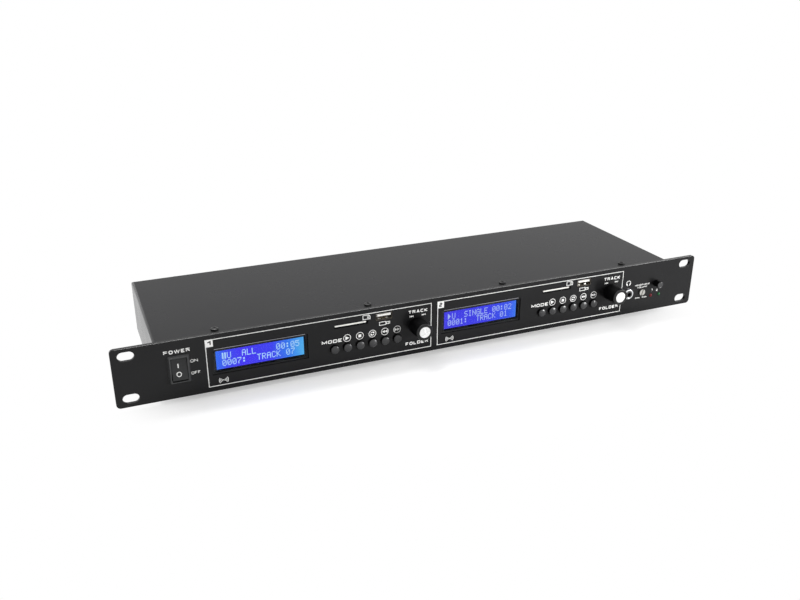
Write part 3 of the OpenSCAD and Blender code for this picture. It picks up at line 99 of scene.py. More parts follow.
def grid(points: np.ndarray, wrap_rows: bool = False, wrap_columns: bool = False) -> Surface:
    """Join a grid of points with four-sided faces: each face takes a point, its neighbours and the one across.

    Args:
        points: Array of rows, columns and three places.
        wrap_rows: Join the last row to the first.
        wrap_columns: Join the last column to the first.

    Returns:
        The surface over the grid.
    """
    rows, columns = points.shape[:2]
    index = np.arange(rows * columns).reshape(rows, columns)
    if wrap_rows:
        index = np.vstack([index, index[:1]])
    if wrap_columns:
        index = np.hstack([index, index[:, :1]])
    faces = np.stack([index[:-1, :-1], index[:-1, 1:], index[1:, 1:], index[1:, :-1]], axis=-1)
    return Surface(points.reshape(-1, 3), (faces.reshape(-1, 4),))


def capped(points: np.ndarray) -> Surface:
    """Close a tube: a grid whose columns run round it, with one face over its first row and one over its last.

    Args:
        points: Array of rows, columns and three places.

    Returns:
        The closed tube.
    """
    tube = grid(points, wrap_columns=True)
    row = np.arange(points.shape[1])
    ends = np.stack([row, row[::-1] + len(tube.points) - len(row)])
    return Surface(tube.points, tube.faces + (ends,))


def lathe(profile: np.ndarray, turns: int = 72) -> Surface:
    """Turn a profile about the h axis: a point is (r cos t, r sin t, h) for each radius r, height h and angle t.

    Args:
        profile: Rows of radius and height. An end on the axis closes in a pole.
        turns: Steps around the axis.

    Returns:
        The turned surface.
    """
    angle = np.linspace(0.0, 2.0 * math.pi, turns, endpoint=False)
    radius, height = profile.T
    level = np.repeat(height[:, None], turns, axis=1)
    points = np.stack([np.outer(radius, np.cos(angle)), np.outer(radius, np.sin(angle)), level], axis=-1)
    return grid(points, wrap_columns=True)


def rounded(corners: Sequence[tuple[float, float, float]], steps: int = 6) -> np.ndarray:
    """Round the corners of a line: each arc is the quadratic curve between the two points where it leaves the line.

    Args:
        corners: Radius, height and rounding of each corner.
        steps: Points on each arc.

    Returns:
        Rows of radius and height along the rounded line.
    """
    spots = np.array([corner[:2] for corner in corners], dtype=float)
    line = [spots[:1]]
    share = np.linspace(0.0, 1.0, steps)[:, None]
    for before, spot, after, corner in zip(spots[:-2], spots[1:-1], spots[2:], corners[1:-1]):
        size = corner[2]
        if size <= 0.0:
            line.append(spot[None])
            continue
        start = spot + (before - spot) * size / np.linalg.norm(before - spot)
        end = spot + (after - spot) * size / np.linalg.norm(after - spot)
        line.append((1 - share) ** 2 * start + 2 * share * (1 - share) * spot + share ** 2 * end)
    line.append(spots[-1:])
    return np.concatenate(line)


def arc(radius: float, start: float = 0.0, end: float = 360.0, count: int = 40) -> np.ndarray:
    """Place points round the origin: radius times the cosine and sine of each angle.

    Args:
        radius: Distance from the origin.
        start: First angle in degrees.
        end: Last angle in degrees. A whole turn leaves out the last point.
        count: Number of points.

    Returns:
        Rows of x and z.
    """
    angle = np.radians(np.linspace(start, end, count, endpoint=abs(end - start) < 360.0))
    return radius * np.stack([np.cos(angle), np.sin(angle)], axis=1)


def unit(rows: np.ndarray) -> np.ndarray:
    """Return each row at length one."""
    return rows / np.linalg.norm(rows, axis=1, keepdims=True)


def ribbon(path: np.ndarray, width: float, height: float, closed: bool = False) -> Surface:
    """Draw a line of even width along a path: the four corners of its section follow the path's mitred normals.

    A mitre is at most as long as the line is wide, so sharp corners don't run out into spikes.

    Args:
        path: Rows of x and z.
        width: Width of the line.
        height: How far it stands off the panel.
        closed: Join the end to the start.

    Returns:
        The raised line.
    """
    path = np.asarray(path, dtype=float)
    ahead = np.roll(path, -1, axis=0) - path
    behind = path - np.roll(path, 1, axis=0)
    if not closed:
        ahead[-1], behind[0] = behind[-1], ahead[0]
    ahead, behind = unit(ahead), unit(behind)
    normal = np.stack([-ahead[:, 1], ahead[:, 0]], axis=1)
    mitre = unit(normal + np.stack([-behind[:, 1], behind[:, 0]], axis=1))
    mitre = mitre / np.maximum(np.sum(mitre * normal, axis=1, keepdims=True), 0.5) * width / 2
    left, right = path + mitre, path - mitre
    low, high = np.zeros((len(path), 1)), np.full((len(path), 1), height)
    corners = [np.hstack(pair) for pair in ((left, low), (right, low), (right, high), (left, high))]
    sections = np.stack(corners, axis=1)
    return grid(sections, wrap_rows=True, wrap_columns=True) if closed else capped(sections)


def plate(outline: np.ndarray, height: float) -> Surface:
    """Raise an outline off the panel: two rows of its points, with a face over each row.

    Args:
        outline: Rows of x and z, in order round the outline.
        height: Thickness of the plate.

    Returns:
        The closed plate.
    """
    outline = np.asarray(outline, dtype=float)
    rows = [np.hstack([outline, np.full((len(outline), 1), level)]) for level in (0.0, height)]
    return capped(np.stack(rows))


def bar(width: float, tall: float, height: float) -> Surface:
    """Return a rectangular plate about its middle."""
    corners = np.array([[-0.5, -0.5], [0.5, -0.5], [0.5, 0.5], [-0.5, 0.5]])
    return plate(corners * (width, tall), height)


def loft(rows: Sequence[tuple[float, float, float, float]], steps: int = 6) -> Surface:
    """Join rounded rectangles one behind the other: corner centres pushed out by their radius at each angle.

    Args:
        rows: Half width, half height, corner radius and height off the panel. All zero but the last closes an end.
        steps: Points on each corner.

    Returns:
        The surface through all rows.
    """
    half_w, half_h, corner, level = np.array(rows, dtype=float).T[:, :, None]
    angle = np.linspace(0.0, math.pi / 2, steps) + np.arange(4)[:, None] * math.pi / 2
    side_x, side_z = (np.repeat(side, steps)[None] for side in ((1, -1, -1, 1), (1, 1, -1, -1)))
    x = side_x * (half_w - corner) + corner * np.cos(angle.ravel())
    z = side_z * (half_h - corner) + corner * np.sin(angle.ravel())
    return grid(np.stack([x, z, np.broadcast_to(level, x.shape)], axis=-1), wrap_columns=True)


def blocks(centres: np.ndarray, size: Sequence[float]) -> Surface:
    """Set one box of the same size at every centre: eight corners added to each row of centres.

    Args:
        centres: Rows of three places.
        size: Width, height and depth of a box.

    Returns:
        All boxes as one surface.
    """
    corners = (np.array(list(product((0, 1), repeat=3))) - 0.5) * np.asarray(size)
    sides = np.array([[0, 1, 3, 2], [4, 6, 7, 5], [0, 4, 5, 1], [2, 3, 7, 6], [0, 2, 6, 4], [1, 5, 7, 3]])
    faces = sides[None] + 8 * np.arange(len(centres))[:, None, None]
    return Surface((centres[:, None] + corners[None]).reshape(-1, 3), (faces.reshape(-1, 4),))


# Capitals of even stroke on a lattice of five by five points: column and row of each point, "o" for a soft corner,
# "z" for a closed line and a comma between the lines of one letter
STROKES: dict[str, str] = {
    "A": "00 24 40, 11 31",
    "C": "44 04o 00o 40",
    "D": "00 40o 44o 04 00 z",
    "E": "44 04 00 40, 02 32",
    "F": "44 04 00, 02 32",
    "H": "00 04, 40 44, 02 42",
    "I": "00 04",
    "K": "00 04, 44 02 40",
    "L": "04 00 40",
    "M": "00 04 21 44 40",
    "N": "00 04 40 44",
    "O": "20 40o 44o 04o 00o 20 z",
    "P": "00 04 44o 42o 02",
    "R": "00 04 44o 42o 02, 22 40",
    "T": "04 44, 20 24",
    "U": "04 00o 40o 44",
    "V": "04 20 44",
    "W": "04 10 24 30 44",
    "X": "00 44, 04 40",
    "1": "03 44 40",
    "2": "04 44o 42o 02o 00 40",
}
# Letters that are wider or narrower than the rest, as a share of their width
WIDTHS: dict[str, float] = {"I": 0.0, "1": 0.5, "E": 0.88, "F": 0.88, "L": 0.85, "M": 1.2, "W": 1.5}
# Soft corners as a share of the letter's smaller side, and gaps between letters in strokes
SOFT_CORNER = 0.45
LETTER_GAP = 1.95
# Lines of one letter, and marks that overlap, lie this much over each other, so their faces never share a plane
INK_LIFT = 0.002


def letter(sign: str, width: float, tall: float, stroke: float, height: float) -> Surface:
    """Draw one capital: a ribbon along each of its lines, whose soft corners are quadratic curves.

    Args:
        sign: The letter.
        width: Width between the middles of its outer strokes.
        tall: Height between the middles of its outer strokes.
        stroke: Width of the stroke.
        height: Thickness of the ink.

    Returns:
        The letter, from its lower left corner.
    """
    lines = []
    for place, line in enumerate(STROKES[sign].split(",")):
        soft = SOFT_CORNER * min(width, tall)
        path = rounded([(int(spot[0]) / 4 * width, int(spot[1]) / 4 * tall, soft * spot.endswith("o"))
                        for spot in line.replace("z", "").split()])
        closed = "z" in line
        lines.append(ribbon(path[:-1] if closed else path, stroke, height, closed).moved(h=place * INK_LIFT))
    return join(lines)


def words(text: str, width: float, tall: float, stroke: float, height: float) -> Surface:
    """Set capitals side by side about their middle: their widths share what the gaps leave of the whole.

    Args:
        text: Letters to set.
        width: Width over all letters.
        tall: Height of the capitals.
        stroke: Width of the strokes.
        height: Thickness of the ink.

    Returns:
        The word as closed ribbons.
    """
    gap = LETTER_GAP * stroke
    shares = np.array([WIDTHS.get(sign, 1.0) for sign in text])
    widths = shares * (width - stroke - gap * (len(text) - 1)) / shares.sum()
    starts = np.concatenate([[0.0], np.cumsum(widths + gap)[:-1]]) - (width - stroke) / 2
    return join(letter(sign, wide, tall - stroke, stroke, height).moved(start, (stroke - tall) / 2)
                for sign, wide, start in zip(text, widths, starts))


# Finishes


def linear(colour: str, level: float = 1.0) -> tuple[float, float, float, float]:
    """Turn an sRGB hex colour to linear light.

    Args:
        colour: Six hex digits.
        level: Factor on the linear light.

    Returns:
        Red, green, blue and alpha.
    """
    share = np.array([int(colour[i:i + 2], 16) for i in (0, 2, 4)]) / 255.0
    light = np.where(share <= 0.04045, share / 12.92, ((share + 0.055) / 1.055) ** 2.4) * level
    return (*(float(part) for part in light), 1.0)


def add_node(tree: Tree, kind: str, inputs: Optional[dict] = None, **settings: Any) -> bpy.types.Node:
    """Add a shader node with its settings, and fill its sockets with numbers or links.

    Args:
        tree: Node tree that gets the node.
        kind: Blender's name for the node type, after its first word, ShaderNode.
        inputs: Value, socket to link from, or node whose first output is linked, for each socket.
        settings: Properties of the node itself.

    Returns:
        The new node.
    """
    node = tree.nodes.new("ShaderNode" + kind)
    for key, value in settings.items():
        setattr(node, key, value)
    for key, value in (inputs or {}).items():
        value = value.outputs[0] if isinstance(value, bpy.types.Node) else value
        if isinstance(value, bpy.types.NodeSocket):
            tree.links.new(value, node.inputs[key])
        else:
            node.inputs[key].default_value = value
    return node


def new_material(name: str) -> tuple[bpy.types.Material, Tree]:
    """Make an empty node material.

    Args:
        name: Name of the material.

    Returns:
        The material and its node tree.
    """
    material = bpy.data.materials.new(name)
    material.use_nodes = True
    material.node_tree.nodes.clear()
    return material, material.node_tree


# Most of a noise lies between these values
NOISE_SPAN = 0.3, 0.7
# Brushed streaks are this much finer across than along
BRUSH_STRETCH = 0.04


class Pattern(Enum):
    """How the fine relief of a surface runs."""

    GRAIN = "even in all directions"
    BRUSHED = "long streaks along X"
    RINGS = "rings about the piece's own axis, on its UV map"


@dataclass(frozen=True)
class Finish:
    """A finish of one material: colour that drifts a little, roughness that follows it, and a fine relief."""

    name: str
    colour: str
    roughness: float
    metallic: float = 0.0
    specular: float = 0.5
    # Reflection strength on faces that look along X: a painted sheen
    side_specular: Optional[float] = None
    grain_mm: float = 0.5
    relief_mm: float = 0.006
    pattern: Pattern = Pattern.GRAIN
    drift_mm: float = 14.0
    colour_drift: float = 0.08
    rough_drift: float = 0.06
    anisotropic: float = 0.0
    glow: float = 0.0

    @lru_cache(maxsize=None)
    def material(self) -> bpy.types.Material:
        """Build the finish: noise at two real sizes drives colour and roughness, and a third the relief.

        Returns:
            The material, made once.
        """
        material, tree = new_material(self.name)
        place = add_node(tree, "TexCoord")
        drift = add_node(tree, "TexNoise", {
            "Vector": place.outputs["Object"], "Scale": 1.0 / (self.drift_mm * MM), "Detail": 3.0})
        ramp = add_node(tree, "ValToRGB", {"Fac": drift})
        for stop, position, level in zip(ramp.color_ramp.elements, NOISE_SPAN, (-1, 1)):
            stop.position = position
            stop.color = linear(self.colour, 1 + level * self.colour_drift)
        rough = add_node(tree, "MapRange", {
            "Value": drift, "From Min": NOISE_SPAN[0], "From Max": NOISE_SPAN[1],
            "To Min": self.roughness - self.rough_drift, "To Max": self.roughness + self.rough_drift})
        bump = add_node(tree, "Bump", {
            "Height": self.relief(tree, place), "Strength": 1.0, "Distance": self.relief_mm * MM})
        shader = add_node(tree, "BsdfPrincipled", {
            "Base Color": ramp, "Roughness": rough,
            "Normal": bump, "Metallic": self.metallic, "Specular IOR Level": self.gloss(tree),
            "Anisotropic": self.anisotropic, "Emission Strength": self.glow, "Emission Color": linear(self.colour)})
        add_node(tree, "OutputMaterial", {"Surface": shader})
        return material

    def gloss(self, tree: Tree) -> Any:
        """Give the strength of the reflection; faces that look along X may get another, a painted sheen on the sides.

        Args:
            tree: Node tree of the material.

        Returns:
            A number, or the node that carries it.
        """
        if self.side_specular is None:
            return self.specular
        facing = add_node(tree, "SeparateXYZ", {
            "Vector": add_node(tree, "NewGeometry").outputs["True Normal"]})
        side = add_node(tree, "Math", {0: facing.outputs["X"]}, operation="ABSOLUTE")
        return add_node(tree, "MapRange", {
            "Value": side, "To Min": self.specular, "To Max": self.side_specular})

    def relief(self, tree: Tree, place: bpy.types.Node) -> Any:
        """Give the height that the relief follows.

        Args:
            tree: Node tree of the material.
            place: Its texture coordinate node.

        Returns:
            The node or socket that carries the height.
        """
        scale = 1.0 / (self.grain_mm * MM)
        if self.pattern is Pattern.RINGS:
            wave = add_node(tree, "TexWave", {
                "Vector": place.outputs["UV"], "Scale": 2 * math.pi / (20.0 * self.grain_mm),
                "Distortion": 0.4, "Detail": 2.0})
            return wave.outputs["Fac"]
        vector = place.outputs["Object"]
        if self.pattern is Pattern.BRUSHED:
            vector = add_node(tree, "Mapping", {
                "Vector": vector, "Scale": Vector((BRUSH_STRETCH, 1.0, 1.0))})
        return add_node(tree, "TexNoise", {"Vector": vector, "Scale": scale, "Detail": 2.0})


# Powder coat sprayed on steel: an even satin black, with the faint orange peel of the melted powder
PANEL_PAINT = Finish("satin_black_powder_coat", "171718", 0.24, specular=0.23, grain_mm=0.8, relief_mm=0.004,
                     drift_mm=40.0, colour_drift=0.05, rough_drift=0.03)
# The same paint on the folded sheet, drawn greyer than on the panel as painted light from above, with a stronger
# reflection on faces that look along X as painted sheen where the eye grazes its sides
LIT_CASE_PAINT = Finish("semi_matt_black_coat_painted_light", "363637", 0.26, specular=0.05, side_specular=0.8, grain_mm=0.9,
                    relief_mm=0.004, drift_mm=40.0, colour_drift=0.04, rough_drift=0.03)
# Blackened zinc on pan head screws: dark, with a soft metal glint in the recess
BLACK_SCREW = Finish("blackened_zinc_screw", "0C0C0D", 0.38, specular=0.35, grain_mm=0.3, relief_mm=0.004)
# Moulded rubber: dull and even
FOOT_RUBBER = Finish("moulded_rubber", "1A1A1A", 0.8, specular=0.3, grain_mm=0.6, relief_mm=0.02)
# Passivated zinc on nuts and screws: cool grey with a cloudy sheen
ZINC = Finish("zinc_plated_steel", "B4B6BA", 0.35, metallic=1.0, grain_mm=0.3, colour_drift=0.12)
# Turned brass, left bare: yellow, with fine tool marks
BRASS = Finish("turned_brass", "C6A863", 0.3, metallic=1.0, grain_mm=0.15, colour_drift=0.1)
# Semi gloss moulded nylon of a mains switch: near black, with a broad soft highlight
SWITCH_PLASTIC = Finish("semi_gloss_nylon", "18191A", 0.4, specular=0.4, grain_mm=0.4, relief_mm=0.004)
# The switch's frame of the same nylon, spark textured: it catches the light from above on its slopes
BEZEL_PLASTIC = Finish("textured_nylon", "242526", 0.45, specular=0.7, grain_mm=0.4, relief_mm=0.006)
# Tin dipped terminals: bright, slightly uneven
TINNED = Finish("tinned_brass", "C4C4C2", 0.3, metallic=1.0, grain_mm=0.8, relief_mm=0.01, colour_drift=0.1)
# Stamped nickel plated steel of the sockets: bright, with fine streaks along the strip
NICKEL = Finish("nickel_plated_steel", "C9C8C4", 0.22, metallic=1.0, grain_mm=0.2, pattern=Pattern.BRUSHED)
# The same plating on a rolled lip, drawn dark as painted shade at the socket's mouth, with a weak glint
SHADED_NICKEL = Finish("nickel_lip_painted_shade", "5C5750", 0.4, metallic=0.8, grain_mm=0.5, relief_mm=0.004)
# Gold flash on phosphor bronze contacts: warm and bright
GOLD = Finish("gold_flashed_bronze", "D9B25A", 0.25, metallic=1.0, grain_mm=0.3)
# White moulded insulator of the sockets: a slightly warm white
WHITE_PLASTIC = Finish("white_moulded_nylon", "F4F3EE", 0.4, grain_mm=0.4, colour_drift=0.03)
# Dark grey moulded ABS with a fine spark texture, as on the buttons
BUTTON_PLASTIC = Finish("grey_black_abs", "363637", 0.24, specular=0.5, grain_mm=0.3, relief_mm=0.003)
# Black moulded ABS on the knobs' fronts: dark, with a gloss that the bevel catches
KNOB_PLASTIC = Finish("black_abs", "101011", 0.24, specular=0.4, grain_mm=0.35, relief_mm=0.003)
# Aluminium disc turned on its face, under a pale satin lacquer: almost white, with fine rings. They are drawn
# coarser than the tool's feed, so that they show
SPUN_DISC = Finish("spun_aluminium", "F4F4F3", 0.3, metallic=0.25, grain_mm=0.22, relief_mm=0.003,
                   pattern=Pattern.RINGS, colour_drift=0.03, anisotropic=0.5)
# Plain drawn steel of shafts and encoder bodies: grey, with streaks along the draw
PLAIN_STEEL = Finish("drawn_steel", "A9AAAC", 0.32, metallic=1.0, grain_mm=0.2, pattern=Pattern.BRUSHED)
# Black moulded parts behind the panel and of the mains inlet: even and half dull
BLACK_PLASTIC = Finish("black_polyamide", "1B1B1C", 0.45, grain_mm=0.4)
# Chromed ring nut: mirror bright with slight waviness
CHROME = Finish("chromed_brass", "E2E4E6", 0.1, metallic=1.0, grain_mm=1.5, relief_mm=0.004, rough_drift=0.03,
                colour_drift=0.03)
# Black painted steel frame of the display module: matt, so that it frames the light
DISPLAY_FRAME = Finish("black_painted_frame", "141415", 0.5, grain_mm=0.5)
# Dark polariser behind the lit field: smooth, deep blue black
DISPLAY_GLASS = Finish("polariser_film", "10141F", 0.25, grain_mm=2.0, relief_mm=0.002)
# Solder mask over copper: green, semi gloss
BOARD = Finish("green_solder_mask", "1F5A37", 0.4, grain_mm=0.4, drift_mm=3.0, colour_drift=0.25)
# Varnished laminations of the transformer: brown, with the lines of the stacked sheets
CORE = Finish("varnished_laminations", "59503F", 0.5, metallic=0.3, grain_mm=0.5, pattern=Pattern.BRUSHED)
# Gold coloured plating of the phono shells: smooth and bright
PHONO_METAL = Finish("gold_plated_brass", "D2B469", 0.22, metallic=1.0, grain_mm=0.2)
# White and red moulded inserts that tell left from right
INSERT_WHITE = Finish("white_pbt", "E9E8E4", 0.35, grain_mm=0.4, colour_drift=0.03)
INSERT_RED = Finish("red_pbt", "B01418", 0.35, grain_mm=0.4)
# Grey vinyl of flat cables and wires: soft and dull
CABLE = Finish("grey_vinyl", "8C8C8E", 0.5, grain_mm=0.6)
# Bright, dulled steel of a thin strip over each display window: a painted highlight where the window's top edge catches
# the light
HIGHLIGHT_STEEL = Finish("steel_strip_painted_highlight", "A2A2A8", 0.45, metallic=1.0, grain_mm=0.3, colour_drift=0.15)
# Pale line along the panel's top edge, of uneven strength: a painted highlight where the rounded edge catches the light
EDGE_HIGHLIGHT_PAINT = Finish("painted_edge_highlight", "9A9A9A", 0.4, specular=0.4, grain_mm=0.4, drift_mm=30.0, colour_drift=0.25)
# Sides of the buttons and knobs, near black against the buttons' grey faces as painted shade on the sides: matt, almost
# without a reflection
SHADED_SKIRT = Finish("black_abs_skirt_painted_shade", "080809", 0.5, specular=0.05, grain_mm=0.3, relief_mm=0.003)
# White screen print: matt ink with slightly uneven cover
WHITE_INK = Finish("white_screen_print", "F4F4F2", 0.6, specular=0.2, grain_mm=0.3, relief_mm=0.003, drift_mm=4.0,
                   colour_drift=0.05)
# Black screen print on the white squares and round the panes: matt
BLACK_INK = Finish("black_screen_print", "1D1D1E", 0.6, specular=0.2, grain_mm=0.3, relief_mm=0.003)
# Tinted epoxy lamps, seen unlit: deep colour with a wet highlight and a faint painted glow of their own colour
RED_LAMP = Finish("red_epoxy", "6A1622", 0.14, specular=0.3, grain_mm=2.0, relief_mm=0.002, glow=0.05)
GREEN_LAMP = Finish("green_epoxy", "10552A", 0.14, specular=0.3, grain_mm=2.0, relief_mm=0.002, glow=0.05)


@dataclass(frozen=True)
class ClearPane:
    """Cast acrylic with a low reflection coat: clear, smooth, with faint smears in its gloss."""

    name: str = "cast_acrylic"
    tint: str = "F2F5FA"
    ior: float = 1.1
    smear_mm: float = 18.0

    @lru_cache(maxsize=None)
    def material(self) -> bpy.types.Material:
        """Build the clear plastic: full transmission with roughness from a smear noise.

        Returns:
            The material, made once.
        """
        material, tree = new_material(self.name)
        place = add_node(tree, "TexCoord")
        smear = add_node(tree, "TexNoise", {
            "Vector": place.outputs["Object"], "Scale": 1.0 / (self.smear_mm * MM), "Detail": 4.0})
        rough = add_node(tree, "MapRange", {
            "Value": smear, "From Min": 0.35, "From Max": 0.7, "To Min": 0.0, "To Max": 0.012})
        shader = add_node(tree, "BsdfPrincipled", {
            "Base Color": linear(self.tint), "Roughness": rough, "IOR": self.ior,
            "Transmission Weight": 1.0})
        add_node(tree, "OutputMaterial", {"Surface": shader})
        return material


@dataclass(frozen=True)
class LitField:
    """Back-lit liquid crystal: blue that shifts across the field, as edge lamps and viewing angle give it."""

    name: str
    left: float
    right: float
    stops: tuple[tuple[float, str], ...]
    level: float = 1.0
    cloud_mm: float = 9.0
    cloud_shift: float = 0.08

    @lru_cache(maxsize=None)
    def material(self) -> bpy.types.Material:
        """Build the glow: place across the field, pushed a little by a slow noise, picks the colour of the light.

        Returns:
            The material, made once.
        """
        material, tree = new_material(self.name)
        place = add_node(tree, "TexCoord")
        width = (self.right - self.left) * MM
        across = add_node(tree, "Mapping", {
            "Vector": place.outputs["Object"], "Location": Vector((-self.left * MM / width, 0, 0)),
            "Scale": Vector((1.0 / width, 1.0, 1.0))})
        parts = add_node(tree, "SeparateXYZ", {"Vector": across})
        cloud = add_node(tree, "TexNoise", {
            "Vector": place.outputs["Object"], "Scale": 1.0 / (self.cloud_mm * MM), "Detail": 1.0})
        shift = add_node(tree, "Math", {
            0: cloud, 1: self.cloud_shift, 2: -self.cloud_shift / 2}, operation="MULTIPLY_ADD")
        share = add_node(tree, "Math", {0: parts.outputs["X"], 1: shift}, operation="ADD")
        ramp = add_node(tree, "ValToRGB", {"Fac": share})
        elements = ramp.color_ramp.elements
        while len(elements) < len(self.stops):
            elements.new(0.5)
        for element, (position, colour) in zip(elements, self.stops):
            element.position, element.color = position, linear(colour)
        shader = add_node(tree, "BsdfPrincipled", {
            "Base Color": linear("060818"), "Roughness": 0.4, "Specular IOR Level": 0.0,
            "Emission Color": ramp, "Emission Strength": self.level})
        add_node(tree, "OutputMaterial", {"Surface": shader})
        return material


@dataclass(frozen=True)
class LitDots:
    """Clear dots of the liquid crystal, where the white back light comes through, a little uneven."""

    name: str
    colour: str
    level: float = 1.0
    cloud_mm: float = 6.0
    spread: tuple[float, float] = (0.8, 1.1)

    @lru_cache(maxsize=None)
    def material(self) -> bpy.types.Material:
        """Build the glow of the dots, with a slow noise in its colour.

        Returns:
            The material, made once.
        """
        material, tree = new_material(self.name)
        place = add_node(tree, "TexCoord")
        cloud = add_node(tree, "TexNoise", {
            "Vector": place.outputs["Object"], "Scale": 1.0 / (self.cloud_mm * MM)})
        ramp = add_node(tree, "ValToRGB", {"Fac": cloud})
        for stop, level in zip(ramp.color_ramp.elements, self.spread):
            stop.color = linear(self.colour, level)
        shader = add_node(tree, "BsdfPrincipled", {
            "Base Color": linear("10142A"), "Roughness": 0.4, "Specular IOR Level": 0.0,
            "Emission Color": ramp, "Emission Strength": self.level})
        add_node(tree, "OutputMaterial", {"Surface": shader})
        return material


# Pieces


@dataclass(frozen=True)
class PanelFace:
    """The panel's front face as the frame gives it: its depth and the height of its middle, in millimetres."""

    front: float
    middle: float

    @classmethod
    def from_frame(cls) -> "PanelFace":
        """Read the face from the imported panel."""
        low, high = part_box("front_panel")
        return cls(low.y / MM, (low.z + high.z) / 2 / MM)

    def place(self, points: np.ndarray) -> np.ndarray:
        """Turn rows of x, z and h into rows of the frame's X, Y and Z, still in millimetres."""
        x, z, h = points.T
        return np.stack([x, self.front - h, self.middle + z], axis=1)

    def spot(self, node: str) -> tuple[float, float]:
        """Return the middle of a node's box as x and z on the panel."""
        low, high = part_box(node)
        return (low.x + high.x) / 2 / MM, (low.z + high.z) / 2 / MM - self.middle


FACE = PanelFace.from_frame()
# Points closer than the first, and edges shorter than the second, are one, in metres
WELD, SPECK = 1e-7, 1e-8
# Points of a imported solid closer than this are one, in metres
SOLID_WELD = 1e-6


def make_piece(name: str, surface: Surface, finish: Any, body: str,
               replaces: Sequence[str] = (), sharp_deg: float = 35.0) -> bpy.types.Object:
    """Make a piece of the object from a surface on the panel.

    Args:
        name: Name of the piece.
        surface: Its surface, with places as x, z and h.
        finish: Finish with a material method.
        body: Body that it moves with.
        replaces: Solids that it stands for.
        sharp_deg: Edges that turn more than this stay sharp.

    Returns:
        The new object.
    """
    mesh = bpy.data.meshes.new(name)
    faces = [row for array in surface.faces for row in array.tolist()]
    mesh.from_pydata((FACE.place(surface.points) * MM).tolist(), [], faces)
    shell = bmesh.new()
    shell.from_mesh(mesh)
    bmesh.ops.remove_doubles(shell, verts=shell.verts, dist=WELD)
    bmesh.ops.dissolve_degenerate(shell, edges=shell.edges, dist=SPECK)
    bmesh.ops.recalc_face_normals(shell, faces=shell.faces)
    shell.to_mesh(mesh)
    shell.free()
    mesh.shade_smooth()
    mesh.set_sharp_from_angle(angle=math.radians(sharp_deg))
    mesh.materials.append(finish.material())
    piece = bpy.data.objects.new(name, mesh)
    bpy.context.scene.collection.objects.link(piece)
    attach(piece, body)
    if replaces:
        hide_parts(*replaces)
    LOG.info("%s: %d faces on %s", name, len(mesh.polygons), body)
    return piece


def dress(finish: Any, *nodes: str) -> None:
    """Give solids of the frame their finish.

    Args:
        finish: Finish with a material method.
        nodes: Names of the solids.
    """
    for name in nodes:
        node = frame["nodes"][name]
        if not node.material_slots:
            node.data.materials.append(None)
        for slot in node.material_slots:
            slot.material = finish.material()
        LOG.info("%s: %s", name, finish.name)


def soften(node: str, width: float, steps: int = 2, least_deg: float = 50.0) -> None:
    """Round a solid's edges as paint does: its triangles are welded and a bevel follows its corners.

    Args:
        node: Solid of the frame.
        width: Width of the bevel in millimetres.
        steps: Faces across the bevel.
        least_deg: Edges that turn less than this stay as they are.
    """
    solid = frame["nodes"][node]
    solid.modifiers.new("weld", "WELD").merge_threshold = SOLID_WELD
    bevel = solid.modifiers.new("bevel", "BEVEL")
    bevel.width, bevel.segments, bevel.limit_method = width * MM, steps, "ANGLE"
    bevel.angle_limit = math.radians(least_deg)


def darken(cap: bpy.types.Object, level: float) -> None:
    """Give a cap's faces behind a level the dark skirt finish, painted shade on a button's side.

    Args:
        cap: The turned piece.
        level: Height off the panel, in millimetres, that the middle of a face is compared with.
    """
    mesh = cap.data
    mesh.materials.append(SHADED_SKIRT.material())
    middles = np.empty(3 * len(mesh.polygons))
    mesh.polygons.foreach_get("center", middles)
    behind = FACE.front - middles.reshape(-1, 3)[:, 1] / MM < level
    mesh.polygons.foreach_set("material_index", behind.astype(np.int32))


def ring_uv(piece: bpy.types.Object, x: float, z: float) -> None:
    """Give a turned piece a UV map of radius and angle about its axis, in millimetres and turns.

    Args:
        piece: The turned piece.
        x: Its axis across the panel.
        z: Its axis up the panel.
    """
    mesh = piece.data
    points = np.empty(3 * len(mesh.vertices))
    mesh.vertices.foreach_get("co", points)
    points = points.reshape(-1, 3) / MM
    across, up = points[:, 0] - x, points[:, 2] - FACE.middle - z
    corners = np.empty(len(mesh.loops), dtype=np.int64)
    mesh.loops.foreach_get("vertex_index", corners)
    flat = np.stack([np.hypot(across, up), np.arctan2(up, across) / (2 * math.pi)], axis=1)[corners]
    mesh.uv_layers.new(name="rings").data.foreach_set("uv", flat.ravel())


# Studio


@dataclass
class Softbox:
    """A rectangular studio light."""

    name: str
    place: tuple[float, float, float]
    aim: tuple[float, float, float]
    size: tuple[float, float]
    watts: float
    spread_deg: float = 180.0

    def build(self) -> None:
        """Make the light, turned to its aim."""
        light = bpy.data.lights.new(self.name, "AREA")
        light.spread = math.radians(self.spread_deg)
        light.shape, light.energy = "RECTANGLE", self.watts
        light.size, light.size_y = self.size
        lamp = bpy.data.objects.new(self.name, light)
        lamp.location = self.place
        lamp.rotation_euler = (Vector(self.aim) - Vector(self.place)).to_track_quat("-Z", "Y").to_euler()
        bpy.context.scene.collection.objects.link(lamp)
        LOG.info("%s: %.0f W", self.name, self.watts)


